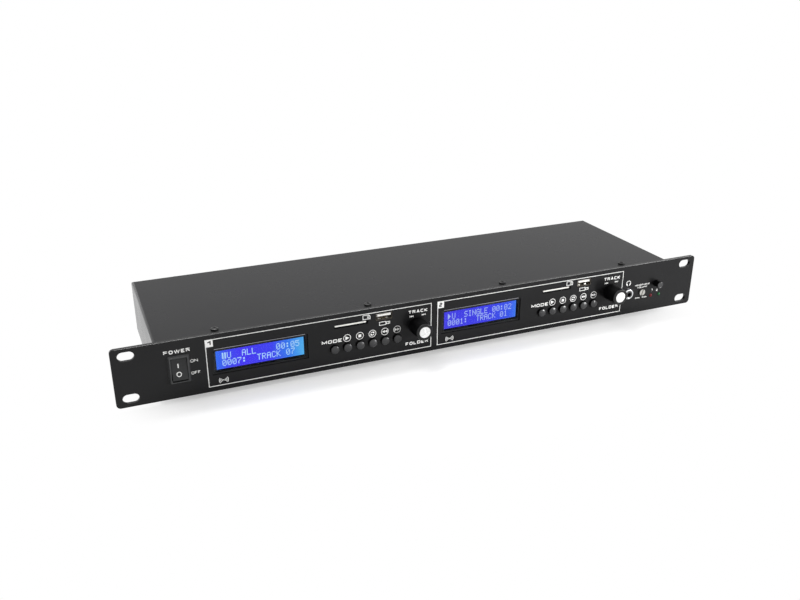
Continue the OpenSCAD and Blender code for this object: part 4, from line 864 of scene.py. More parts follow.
@dataclass
class Studio:
    """Camera, white surroundings, pale floor and soft lights."""

    lens_mm: float = 37.93
    camera_off: tuple[float, float, float] = (-259.87, -535.13, 266.34)
    camera_towards: tuple[float, float, float] = (0.3589, 0.8508, -0.3839)
    ambient: float = 0.3
    floor_albedo: str = "E6E6E6"
    floor_glow: float = 0.35
    floor_radius: float = 9.0
    fade: tuple[float, float] = (0.75, 1.0)
    fade_middle: float = -0.03
    fade_size: tuple[float, float] = (0.25, 0.17)
    boxes: tuple[Softbox, ...] = field(default_factory=lambda: (
        Softbox("overhead_softbox", (-0.34, 0.15, 1.5), (-0.1, 0.0, 0.0), (1.8, 1.4), 11.0),
        Softbox("strip_softbox", (-0.15, 0.4, 1.1), (0.0, 0.0, 0.03), (0.6, 0.16), 4.0),
        Softbox("front_softbox", (0.8, -0.7, 0.18), (0.2, -0.06, 0.03), (0.45, 0.3), 2.1, 80.0),
    ))

    def build(self) -> None:
        """Set up the view, the surroundings and the lights."""
        bpy.context.scene.view_settings.view_transform = "Standard"
        self.build_camera()
        self.build_world()
        self.build_floor()
        for box in self.boxes:
            box.build()

    def build_camera(self) -> None:
        """Stand the camera where the photograph was taken from, measured from the middle of the panel's face."""
        lens = bpy.data.cameras.new("camera")
        lens.lens, lens.sensor_width, lens.sensor_fit = self.lens_mm, 36.0, "HORIZONTAL"
        camera = bpy.data.objects.new("camera", lens)
        x, y, z = self.camera_off
        camera.location = Vector((x, FACE.front + y, FACE.middle + z)) * MM
        camera.rotation_euler = Vector(self.camera_towards).to_track_quat("-Z", "Y").to_euler()
        bpy.context.scene.collection.objects.link(camera)
        bpy.context.scene.camera = camera

    @staticmethod
    def seen(tree: Tree) -> bpy.types.Node:
        """Tell rays that look at the surroundings, straight, mirrored or through, from rays that light the object.

        Args:
            tree: Node tree of a world or material.

        Returns:
            Node that gives 1 for camera, glossy and transmission rays.
        """
        path = add_node(tree, "LightPath")
        either = add_node(tree, "Math", {
            0: path.outputs["Is Camera Ray"], 1: path.outputs["Is Glossy Ray"]}, operation="MAXIMUM")
        return add_node(tree, "Math", {
            0: either, 1: path.outputs["Is Transmission Ray"]}, operation="MAXIMUM")

    def build_world(self) -> None:
        """Surround the object with soft white light that looks white itself."""
        world = bpy.data.worlds.new("white_surroundings")
        world.use_nodes = True
        tree = world.node_tree
        tree.nodes.clear()
        soft = add_node(tree, "Background", {"Color": (1, 1, 1, 1), "Strength": self.ambient})
        white = add_node(tree, "Background", {"Color": (1, 1, 1, 1), "Strength": 1.0})
        mixed = add_node(tree, "MixShader", {
            0: self.seen(tree), 1: soft, 2: white})
        add_node(tree, "OutputWorld", {"Surface": mixed})
        bpy.context.scene.world = world

    def build_floor(self) -> None:
        """Lay a round floor: pale where lit, white where looked at, grey in the shadow and clear from below."""
        outline = self.floor_radius * arc(1.0, count=96)
        mesh = bpy.data.meshes.new("floor")
        mesh.from_pydata(np.hstack([outline, np.zeros((len(outline), 1))]).tolist(), [], [list(range(len(outline)))])
        material, tree = new_material("pale_studio_floor")
        pale = add_node(tree, "BsdfDiffuse", {"Color": linear(self.floor_albedo)})
        glow = add_node(tree, "Emission", {"Strength": self.floor_glow})
        dark = add_node(tree, "Emission", {"Strength": 0.0})
        white = add_node(tree, "Emission", {"Strength": 1.0})
        looked_at = self.seen(tree)
        lift = add_node(tree, "MixShader", {
            0: add_node(tree, "LightPath").outputs["Is Camera Ray"], 1: dark,
            2: glow})
        near = add_node(tree, "AddShader", {0: pale, 1: lift})
        place = add_node(tree, "TexCoord")
        wide, deep = self.fade_size
        oval = add_node(tree, "Mapping", {
            "Vector": place.outputs["Object"], "Location": Vector((0.0, -self.fade_middle / deep, 0.0)),
            "Scale": Vector((1.0 / wide, 1.0 / deep, 1.0))})
        away = add_node(tree, "VectorMath", {0: oval}, operation="LENGTH")
        far = add_node(tree, "MapRange", {
            "Value": away.outputs["Value"], "From Min": self.fade[0], "From Max": self.fade[1]},
            interpolation_type="SMOOTHSTEP")
        share = add_node(tree, "Math", {0: far, 1: looked_at}, operation="MULTIPLY")
        mixed = add_node(tree, "MixShader", {
            0: share, 1: near, 2: white})
        clear = add_node(tree, "BsdfTransparent")
        above = add_node(tree, "MixShader", {
            0: add_node(tree, "NewGeometry").outputs["Backfacing"], 1: mixed,
            2: clear})
        add_node(tree, "OutputMaterial", {"Surface": above})
        mesh.materials.append(material)
        floor = bpy.data.objects.new("floor", mesh)
        bpy.context.scene.collection.objects.link(floor)


# The case


@dataclass
class Case:
    """Panel, folded sheets, screws and feet, all that stays hidden, and the solids that both decks share."""

    edge: float = 0.35
    edge_r: float = 0.2
    edge_end: float = 3.0
    fold: float = 0.6
    dressed: tuple[tuple[Any, str], ...] = (
        (PANEL_PAINT, "front_panel"),
        (LIT_CASE_PAINT, "chassis_tray top_cover rear_panel"),
        (BLACK_SCREW, "case_screws"),
        (FOOT_RUBBER, "rubber_feet"),
        (ZINC, "machine_screws"),
        (BRASS, "standoffs"),
        (BOARD, "display_boards media_boards key_boards phones_board power_board"),
        (BLACK_PLASTIC, "key_switches volume_pot_body select_switch_body mains_inlet output_jack_bodies card_sockets"),
        (PLAIN_STEEL, "encoder_bodies"),
        (CORE, "power_transformer"),
        (TINNED, "switch_terminals inlet_pins"),
        (PHONO_METAL, "output_jack_shells"),
        (INSERT_WHITE, "output_inserts_left"),
        (INSERT_RED, "output_inserts_right"),
        (CABLE, "wire_looms"),
        (ClearPane(), "display_windows"),
        (DISPLAY_FRAME, "display_bezels"),
        (DISPLAY_GLASS, "display_glasses"),
        (NICKEL, "usb_shells"),
        (WHITE_PLASTIC, "usb_tongues"),
    )

    def build(self) -> None:
        """Dress the solids, round the painted edges and lay the painted highlight along the panel's top edge."""
        for finish, nodes in self.dressed:
            dress(finish, *nodes.split())
        soften("front_panel", self.edge)
        soften("top_cover", self.fold)
        self.rub_edge()

    def rub_edge(self) -> None:
        """Lay the painted highlight along the panel's top edge: a small circle carried along it, closed at both ends.
        """
        low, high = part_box("front_panel")
        half = (high.x - low.x) / 2 / MM - self.edge_end
        top = high.z / MM - FACE.middle - self.edge / 2
        circle = arc(self.edge_r, count=10)
        x = np.linspace(-half, half, 60)
        line = np.stack([np.repeat(x[:, None], len(circle), axis=1), np.tile(top + circle[:, 0], (len(x), 1)),
                         np.tile(circle[:, 1] - self.edge / 2, (len(x), 1))], axis=-1)
        make_piece("panel_edge_highlight", capped(line), EDGE_HIGHLIGHT_PAINT, "case")


# Prints


class Mark(Enum):
    """The transport marks over the buttons, by the button they belong to."""

    PLAY = "play"
    STOP = "stop"
    REPEAT = "repeat"
    PREVIOUS = "previous"
    NEXT = "next"


@dataclass
class Printer:
    """Draws the generic marks of the panel as thin closed plates of ink."""

    ink: float = 0.04
    line: float = 0.55

    def triangle(self, size: float, turn_deg: float = 0.0) -> Surface:
        """Draw a solid triangle that points right: its corners, turned about the origin.

        Args:
            size: Length of its sides, about.
            turn_deg: Angle of the turn.

        Returns:
            The inked triangle.
        """
        outline = np.array([[-0.45, -0.5], [0.55, 0.0], [-0.45, 0.5]]) * size
        cos, sin = math.cos(math.radians(turn_deg)), math.sin(math.radians(turn_deg))
        return plate(outline @ np.array([[cos, sin], [-sin, cos]]), self.ink)

    def skip(self, size: float, direction: int) -> Surface:
        """Draw two triangles and a bar, as for the next or the previous track.

        Args:
            size: Height of the mark.
            direction: 1 to point right and -1 to point left.

        Returns:
            The inked mark.
        """
        turn = 90.0 * (1 - direction)
        return join([self.triangle(size, turn).moved(x=-0.45 * size * direction),
                     self.triangle(size, turn).moved(x=0.45 * size * direction),
                     bar(0.22 * size, size, self.ink).moved(x=1.08 * size * direction)])

    def mark(self, kind: Mark, size: float) -> Surface:
        """Draw a transport mark about its middle.

        Args:
            kind: Which mark.
            size: Height of the mark.

        Returns:
            The inked mark.
        """
        if kind is Mark.PLAY:
            return self.triangle(1.25 * size)
        if kind is Mark.STOP:
            return bar(0.9 * size, 0.9 * size, self.ink)
        if kind is Mark.REPEAT:
            turns = [ribbon(arc(0.5 * size, start, start + 120, 16), 0.25 * size, self.ink) for start in (40, 220)]
            tips = [self.triangle(0.68 * size, start - 90).moved(*(0.5 * size * arc(1.0, start, start, 1)[0]), 0.01)
                    for start in (30, 210)]
            return join(turns + tips)
        turn = 0.0 if kind is Mark.NEXT else 180.0
        return join([self.triangle(0.95 * size, turn).moved(x=place * 0.42 * size, h=0.005 + 0.005 * place)
                     for place in (-1, 1)])

    def ring(self, radius: float, line: float) -> Surface:
        """Return a ring of ink with this outside radius."""
        return ribbon(arc(radius - line / 2, count=48), line, self.ink, closed=True)

    def frame(self, width: float, tall: float, line: float) -> Surface:
        """Return a rectangular line whose outside has this size."""
        half = np.array([width - line, tall - line]) / 2
        return ribbon(np.array([[-1, -1], [1, -1], [1, 1], [-1, 1]]) * half, line, self.ink, closed=True)

    def card(self, width: float, tall: float) -> Surface:
        """Draw the outline of a memory card on its side, with its cut corner and three contacts.

        Args:
            width: Width of the mark.
            tall: Its height.

        Returns:
            The inked mark.
        """
        w, t, cut = width / 2, tall / 2, 0.35 * tall
        outline = np.array([[-w, -t], [w, -t], [w, t - cut], [w - cut, t], [-w, t]])
        strokes = [bar(0.3 * width, 0.12 * tall, self.ink).moved(x=0.22 * width, z=z * tall) for z in (-0.25, 0, 0.25)]
        return join([ribbon(outline, self.line * 0.85, self.ink, closed=True)] + strokes)

    def stick(self, width: float, tall: float) -> Surface:
        """Draw a memory stick on its side: body, plug and the plug's two windows.

        Args:
            width: Width of the mark.
            tall: Its height.

        Returns:
            The inked mark.
        """
        body = self.frame(0.62 * width, tall, self.line * 0.85).moved(x=-0.19 * width)
        plug = self.frame(0.36 * width, 0.68 * tall, self.line * 0.85).moved(x=0.29 * width)
        windows = [bar(0.08 * width, 0.16 * tall, self.ink).moved(x=0.32 * width, z=s * 0.16 * tall) for s in (-1, 1)]
        return join([body, plug] + windows)

    def waves(self, tall: float) -> Surface:
        """Draw a dot with three arcs on either side, whose radii grow evenly.

        Args:
            tall: Radius of the middle arcs.

        Returns:
            The inked mark.
        """
        arcs = [ribbon(arc(r * tall, side - 38, side + 38, 14), self.line * 0.8, self.ink)
                for r in (0.55, 1.0, 1.45) for side in (0, 180)]
        return join([plate(arc(0.2 * tall, count=20), self.ink)] + arcs)

    def headphones(self, width: float) -> Surface:
        """Draw a headband with two ear cups, one mirrored from the other.

        Args:
            width: Width of the mark.

        Returns:
            The inked mark.
        """
        band = ribbon(arc(0.45 * width, 5, 175, 28), 0.1 * width, self.ink)
        cup = np.array([[-0.52, 0.02], [-0.44, -0.32], [-0.14, -0.52], [-0.24, -0.05]]) * width
        return join([band, plate(cup, self.ink), plate(cup[::-1] * (-1, 1), self.ink)])


PRINTER = Printer()
# Distance of a deck's first button from the deck's left line
FIRST_BUTTON = 93.5


@dataclass
class Label:
    """A printed word: its middle on the panel, its width and the height of its capitals."""

    text: str
    x: float
    z: float
    width: float
    tall: float
    stroke: float

    def surface(self, ink: float) -> Surface:
        """Return the word as ribbons of ink in its place."""
        return words(self.text, self.width, self.tall, self.stroke, ink).moved(self.x, self.z)


@dataclass
class DeckPrint:
    """Everything printed round one deck. Places across are from the deck's left line."""

    deck: int
    left: float
    size: tuple[float, float] = (172.0, 36.6)
    line: float = 0.52
    badge: tuple[float, float] = (5.5, 5.65)
    number: tuple[float, float, float] = (2.7, 3.3, 0.85)
    mark_z: float = 1.3
    ring_r: float = 3.0
    ring_line: float = 0.42
    mark_size: float = 2.5
    pitch: float = 10.0
    overlap: float = 0.04
    badge_rise: float = 1.2
    skip_size: float = 1.5
    skip_xs: tuple[float, float] = (155.6, 165.2)
    skip_z: float = 9.85
    card: tuple[float, float] = (5.6, 3.2)
    card_at: tuple[float, float] = (119.0, 15.4)
    stick: tuple[float, float] = (9.0, 3.0)
    stick_at: tuple[float, float] = (133.5, 8.2)
    waves: float = 2.2
    waves_at: tuple[float, float] = (10.8, -14.4)
    labels: tuple[Label, ...] = (
        Label("MODE", 91.7, 0.5, 15.8, 2.7, 0.66),
        Label("TRACK", 160.7, 13.45, 16.0, 2.7, 0.66),
        Label("FOLDER", 160.0, -12.6, 19.0, 2.7, 0.66),
    )

    def build(self) -> None:
        """Print the border, the deck's number, the marks and the words."""
        ink = PRINTER.ink
        width, tall = self.size
        parts = [PRINTER.frame(width, tall, self.line).moved(x=width / 2)]
        corner = self.badge[0] / 2 - self.overlap, tall / 2 - self.badge[1] / 2 + self.overlap
        parts.append(bar(*self.badge, self.badge_rise * ink).moved(*corner))
        for place, kind in enumerate(Mark, start=1):
            x = FIRST_BUTTON + place * self.pitch
            parts.append(PRINTER.ring(self.ring_r, self.ring_line).moved(x, self.mark_z))
            parts.append(PRINTER.mark(kind, self.mark_size).moved(x, self.mark_z))
        parts.extend(label.surface(ink) for label in self.labels)
        parts.extend(PRINTER.skip(self.skip_size, way).moved(x, self.skip_z) for x, way in zip(self.skip_xs, (-1, 1)))
        parts.append(PRINTER.card(*self.card).moved(*self.card_at))
        parts.append(PRINTER.stick(*self.stick).moved(*self.stick_at))
        parts.append(PRINTER.waves(self.waves).moved(*self.waves_at))
        make_piece(f"deck_print_{self.deck}", join(parts).moved(x=self.left), WHITE_INK, "case")
        number = words(str(self.deck), *self.number, ink / 2).moved(*corner, self.badge_rise * ink).moved(self.left)
        make_piece(f"deck_number_{self.deck}", number, BLACK_INK, "case")


@dataclass
class SidePrint:
    """The words and marks beside the power switch and the headphone group."""

    power_labels: tuple[Label, ...] = (
        Label("POWER", -199.25, 13.6, 18.1, 2.7, 0.68),
        Label("ON", -188.3, 4.6, 5.2, 2.2, 0.36),
        Label("OFF", -187.8, -4.7, 6.3, 2.2, 0.36),
    )
    phones_labels: tuple[Label, ...] = (
        Label("HEADPHONE", 189.95, 2.9, 15.1, 1.4, 0.3),
        Label("VOLUME", 190.05, 0.8, 10.3, 1.4, 0.3),
        Label("MIN", 186.1, -8.8, 4.2, 1.3, 0.3),
        Label("MAX", 193.3, -8.9, 4.8, 1.3, 0.3),
        Label("1", 200.8, -3.5, 1.1, 2.0, 0.45),
        Label("2", 206.2, -4.4, 1.7, 2.0, 0.45),
    )
    phones_mark: tuple[float, float, float] = (175.3, 6.2, 4.7)

    def build(self) -> None:
        """Print both groups."""
        power, phones = ([label.surface(PRINTER.ink) for label in group]
                         for group in (self.power_labels, self.phones_labels))
        make_piece("power_print", join(power), WHITE_INK, "case")
        x, z, width = self.phones_mark
        phones.append(PRINTER.headphones(width).moved(x, z))
        make_piece("phones_print", join(phones), WHITE_INK, "case")


# Displays

# Signs of the displays, five dots across and seven rows down
GLYPHS: dict[str, str] = {
    " ": "..... ..... ..... ..... ..... ..... .....",
    "0": ".###. #...# #..## #.#.# ##..# #...# .###.",
    "1": "..#.. .##.. ..#.. ..#.. ..#.. ..#.. .###.",
    "2": ".###. #...# ....# ...#. ..#.. .#... #####",
    "5": "##### #.... ####. ....# ....# #...# .###.",
    "7": "##### ....# ...#. ..#.. .#... .#... .#...",
    ":": "..... .##.. .##.. ..... .##.. .##.. .....",
    "=": "##.## ##.## ##.## ##.## ##.## ##.## ##.##",
    ">": "#.... ##... ###.. ####. ###.. ##... #....",
    "A": ".###. #...# #...# ##### #...# #...# #...#",
    "C": ".###. #...# #.... #.... #.... #...# .###.",
    "E": "##### #.... #.... ####. #.... #.... #####",
    "G": ".###. #...# #.... #.### #...# #...# .####",
    "I": ".###. ..#.. ..#.. ..#.. ..#.. ..#.. .###.",
    "K": "#...# #..#. #.#.. ##... #.#.. #..#. #...#",
    "L": "#.... #.... #.... #.... #.... #.... #####",
    "N": "#...# #...# ##..# #.#.# #..## #...# #...#",
    "R": "####. #...# #...# ####. #.#.. #..#. #...#",
    "S": ".#### #.... #.... .###. ....# ....# ####.",
    "T": "##### ..#.. ..#.. ..#.. ..#.. ..#.. ..#..",
    "U": "#...# #...# #...# #...# #...# #...# .###.",
}


@dataclass
class Display:
    """Character display of one deck: lit field and lit dots on the module's glass, behind the clear pane."""

    deck: int
    left: float
    lines: tuple[str, str]
    stops: tuple[tuple[float, str], ...]
    dots: str
    text_x: float
    middle_x: float = 38.6
    view: tuple[float, float] = (64.8, 14.2)
    glass_h: float = -3.1
    field_t: float = 0.05
    dot: tuple[float, float] = (0.53, 0.65)
    dot_pitch: tuple[float, float] = (0.58, 0.69)
    cell_pitch: tuple[float, float] = (3.56, 5.5)
    text_rise: float = 0.1
    window: tuple[float, float, float, float] = (38.55, 0.25, 69.9, 19.5)
    mask_line: float = 1.3
    mask_gap: float = 0.4
    pane_h: float = -1.0
    edge_line: float = 0.3
    edge_more: float = 1.0

    def build(self) -> None:
        """Make the lit field, the dots of the two lines, the pane's black border and, above it, a bright strip as
        painted highlight of the window's top edge.
        """
        middle = self.left + self.middle_x
        edges = middle - self.view[0] / 2, middle + self.view[0] / 2
        lit = LitField(f"blue_liquid_crystal_{self.deck}", *edges, self.stops)
        lit_plate = bar(*self.view, self.field_t).moved(middle, 0.0, self.glass_h)
        make_piece(f"display_field_{self.deck}", lit_plate, lit, "case")
        dots = blocks(self.dot_places(), (*self.dot, self.field_t))
        dots = dots.moved(middle + self.text_x, self.text_rise, self.glass_h + 1.4 * self.field_t)
        glow = LitDots(f"lit_display_dots_{self.deck}", self.dots)
        make_piece(f"display_dots_{self.deck}", dots, glow, "case")
        x, z, width, tall = self.window
        mask = PRINTER.frame(width - self.mask_gap, tall - self.mask_gap, self.mask_line)
        make_piece(f"display_mask_{self.deck}", mask.moved(self.left + x, z, self.pane_h), BLACK_INK, "case")
        # Painted highlight: a bright steel strip along the window's top edge
        edge = bar(self.view[0] + self.edge_more, self.edge_line, PRINTER.ink)
        edge = edge.moved(middle, z + tall / 2 + 0.6 * self.edge_line)
        make_piece(f"display_edge_highlight_{self.deck}", edge, HIGHLIGHT_STEEL, "case")

    def dot_places(self) -> np.ndarray:
        """Find the lit dots: the rows and columns of both lines' glyphs, spread by the dot and cell pitches.

        Returns:
            Rows of x, z and h about the display's middle.
        """
        signs = "".join(GLYPHS[sign].replace(" ", "") for line in self.lines for sign in line)
        lit = (np.array(list(signs)) == "#").reshape(2, len(self.lines[0]), 7, 5)
        line, cell, row, column = np.nonzero(lit)
        x = (cell - (lit.shape[1] - 1) / 2) * self.cell_pitch[0] + (column - 2) * self.dot_pitch[0]
        z = (0.5 - line) * self.cell_pitch[1] + (3 - row) * self.dot_pitch[1]
        return np.stack([x, z, np.zeros_like(x)], axis=1)


# Controls


@dataclass
class Button:
    """A domed push button with a rounded rim, its collar and its stem."""

    node: str
    radius: float = 3.2
    out: float = 2.6
    dome: float = 0.75
    rim: float = 0.35
    collar: tuple[float, float, float] = (4.25, -3.8, -4.8)
    stem: tuple[float, float] = (1.6, -7.7)

    def build(self) -> None:
        """Turn the button: an arc for the dome, a rounded rim, the side, the collar and the stem."""
        x, z = FACE.spot(self.node)
        share = np.linspace(0.0, 1.0, 12)
        inner = self.radius - self.rim
        top = np.stack([inner * share, self.out - self.dome * (inner * share / self.radius) ** 2], axis=1)
        collar_r, collar_front, collar_back = self.collar
        edge = self.out - self.dome
        rest = rounded([
            (inner, top[-1, 1], 0), (self.radius, edge, self.rim), (self.radius, collar_front, 0),
            (collar_r, collar_front, 0.1), (collar_r, collar_back, 0.1), (self.stem[0], collar_back, 0),
            (self.stem[0], self.stem[1], 0.1), (0.0, self.stem[1], 0)])
        surface = lathe(np.concatenate([top, rest[1:]]), 56).moved(x, z)
        cap = make_piece(f"{self.node}_cap", surface, BUTTON_PLASTIC, self.node, [self.node])
        # Painted shade: the cap's side drawn near black
        darken(cap, self.out - self.dome - 0.55 * self.rim)


@dataclass
class TrackKnob:
    """The push-and-turn knob: tapered grip with a bevelled front, and its turned disc."""

    deck: int
    base_r: float = 7.0
    tip_r: float = 6.8
    front: float = 14.0
    back: float = 0.9
    bevel: float = 0.45
    seat_r: float = 4.45
    seat_d: float = 0.8
    room_r: float = 4.3
    room_front: float = 4.3
    disc_r: float = 4.4

    def build(self) -> None:
        """Turn the grip and the disc."""
        x, z = FACE.spot(f"knob_disc_{self.deck}")
        body = f"encoder_knob_{self.deck}"
        profile = rounded([
            (0.0, self.front - self.seat_d, 0), (self.seat_r, self.front - self.seat_d, 0),
            (self.seat_r, self.front, 0.08), (self.tip_r - self.bevel, self.front, 0.12),
            (self.tip_r, self.front - self.bevel, 0.12), (self.base_r, self.back, 0.2),
            (self.room_r, self.back, 0.1), (self.room_r, self.room_front, 0), (0.0, self.room_front, 0)])
        grip = make_piece(f"knob_grip_{self.deck}", lathe(profile, 96).moved(x, z), KNOB_PLASTIC, body,
                          [f"track_knob_{self.deck}"])
        # Painted shade: the grip's side behind the bevel drawn near black, without gloss
        darken(grip, self.front - self.bevel - 0.1)
        profile = rounded([
            (0.0, self.front, 0), (self.disc_r, self.front, 0.12), (self.disc_r, self.front - self.seat_d, 0.02),
            (0.0, self.front - self.seat_d, 0)])
        rings = np.linspace(0.0, self.disc_r - 0.12, 10)[1:-1]
        face = np.stack([rings, np.full_like(rings, self.front)], axis=1)
        disc = make_piece(f"knob_face_{self.deck}", lathe(np.concatenate([profile[:1], face, profile[1:]]), 96)
                          .moved(x, z), SPUN_DISC, body, [f"knob_disc_{self.deck}"])
        ring_uv(disc, x, z)
        dress(PLAIN_STEEL, f"encoder_shaft_{self.deck}")
        dress(BLACK_PLASTIC, f"encoder_rotor_{self.deck}")


@dataclass
class MediaSockets:
    """The USB and card sockets of one deck: contacts, springs and the fronts that reach the panel's face."""

    deck: int
    left: float
    usb: tuple[float, float] = (133.0, 13.9)
    shell: tuple[float, float] = (13.1, 5.7)
    wall: float = 0.3
    contact_in: float = 4.0
    spring_in: float = 1.2
    tongue_z: float = 1.0
    tongue_t: float = 1.84
    contact_xs: tuple[float, ...] = (-3.5, -1.0, 1.0, 3.5)
    contact: tuple[float, float, float] = (1.1, 0.15, 7.5)
    spring: tuple[float, float, float] = (2.2, 7.0, 0.25)
    spring_x: float = 3.0
    spring_rise: float = 0.7
    lip_in: float = 0.1
    lip_corners: tuple[float, float] = (0.3, 0.5)
    nose: tuple[float, float] = (11.1, 0.35)
    nose_in: float = 0.3
    nose_corner: float = 0.1
    nose_overlap: float = 1.0
    card: tuple[float, float] = (107.0, 11.4)
    slot_half: float = 1.25
    lid: tuple[float, float, float] = (24.4, 1.25, 2.6)
    lid_shift: tuple[float, float] = (-0.6, -0.15)
    lid_in: float = 0.15
    lid_chamfer: float = 0.2
    lid_corners: tuple[float, float] = (0.3, 0.4)
    # Near black plate on the card slot's lower wall, as painted shade: width, height and front
    gate: tuple[float, float, float] = (26.3, 1.0, 0.25)
    gate_corner: float = 0.3

    def build(self) -> None:
        """Lay the contacts under the tongue and the springs on the shell's floor."""
        x, z = self.left + self.usb[0], self.usb[1]
        mouth = FACE.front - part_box("usb_shells")[0].y / MM
        low = z + self.tongue_z - self.tongue_t / 2 - self.contact[1] / 2
        places = np.array([[x + dx, low, mouth - self.contact_in - self.contact[2] / 2] for dx in self.contact_xs])
        make_piece(f"usb_contacts_{self.deck}", blocks(places, self.contact), GOLD, "case")
        floor = z - self.shell[1] / 2 + self.wall
        springs = [self.leaf().moved(x + side * self.spring_x, floor, mouth - self.spring_in) for side in (-1, 1)]
        make_piece(f"usb_springs_{self.deck}", join(springs), NICKEL, "case")
        self.build_fronts(x, z, mouth)

    def build_fronts(self, x: float, z: float, mouth: float) -> None:
        """Bring the sockets to the panel's face: the shell's lip, the tongue's nose, the card lid, and under it a dark
        plate in the slot as painted shade.

        Args:
            x: Middle of the USB socket.
            z: Its height.
            mouth: Front of its shell, as distance off the panel.
        """
        inner, outer = ((self.shell[0] / 2 - wall, self.shell[1] / 2 - wall, corner)
                        for wall, corner in zip((self.wall, 0.0), self.lip_corners))
        lip = loft([(*inner, mouth), (*inner, -self.lip_in), (*outer, -self.lip_in), (*outer, mouth), (*inner, mouth)])
        # Painted shade: the lip in darkened nickel
        make_piece(f"usb_lip_{self.deck}", lip.moved(x, z), SHADED_NICKEL, "case")
        width, chamfer = self.nose
        back = mouth - self.nose_overlap
        nose = self.slab(width, self.tongue_t, -self.nose_in, back, chamfer, [self.nose_corner] * 2)
        make_piece(f"usb_nose_{self.deck}", nose.moved(x, z + self.tongue_z), WHITE_PLASTIC, "case")
        width, tall, deep = self.lid
        lid = self.slab(width, tall, -self.lid_in, -self.lid_in - deep, self.lid_chamfer, self.lid_corners)
        x, (shift_x, shift_z) = self.left + self.card[0], self.lid_shift
        lid = lid.moved(x + shift_x, self.card[1] + self.slot_half - tall / 2 + shift_z)
        make_piece(f"card_lid_{self.deck}", lid, WHITE_PLASTIC, "case")
        # Painted shade: a near black plate on the slot's lower wall
        width, tall, front = self.gate
        half = width / 2, tall / 2, self.gate_corner
        gate = loft([(0, 0, 0, -front), (*half, -front), (*half, -deep), (0, 0, 0, -deep)])
        gate = gate.moved(x, self.card[1] - self.slot_half + tall / 2)
        make_piece(f"card_gate_{self.deck}", gate, SHADED_SKIRT, "case")

    @staticmethod
    def slab(width: float, tall: float, front: float, back: float, chamfer: float, corners: Sequence[float]) -> Surface:
        """Shape a closed block with a chamfered front: rounded rectangles from its front face to its back.

        Args:
            width: Width of the block.
            tall: Its height.
            front: Its front face, as distance off the panel.
            back: Its back face.
            chamfer: Size of the chamfer.
            corners: Corner radius of the front face and of the rest.

        Returns:
            The block about its middle.
        """
        half_w, half_h = width / 2, tall / 2
        full = half_w, half_h, corners[1]
        return loft([(0, 0, 0, front), (half_w - chamfer, half_h - chamfer, corners[0], front),
                     (*full, front - chamfer), (*full, back), (0, 0, 0, back)])

    def leaf(self) -> Surface:
        """Shape a leaf spring: it rises off the floor as half a cosine wave along its length, at even thickness.

        Returns:
            The spring about its middle across, starting at the mouth.
        """
        width, length, thick = self.spring
        share = np.linspace(0.0, 1.0, 16)
        rise = self.spring_rise * (1 - np.cos(2 * math.pi * share)) / 2
        section = np.array([[-0.5, 0.0], [0.5, 0.0], [0.5, 1.0], [-0.5, 1.0]])
        x = np.repeat(section[None, :, 0] * width, len(share), axis=0)
        z = rise[:, None] + section[None, :, 1] * thick
        h = np.repeat(-share[:, None] * length, 4, axis=1)
        return capped(np.stack([x, z, h], axis=-1))


@dataclass
class Deck:
    """One player: display, sockets, six buttons, knob and the prints round them."""

    number: int
    lines: tuple[str, str]
    stops: tuple[tuple[float, str], ...]
    dots: str
    text_x: float

    def build(self) -> None:
        """Build the deck's parts from its left line, which the first button's place gives."""
        left = FACE.spot(f"mode_button_{self.number}")[0] - FIRST_BUTTON
        DeckPrint(self.number, left).build()
        Display(self.number, left, self.lines, self.stops, self.dots, self.text_x).build()
        MediaSockets(self.number, left).build()
        for name in ("mode", *(kind.value for kind in Mark)):
            Button(f"{name}_button_{self.number}").build()
        TrackKnob(self.number).build()


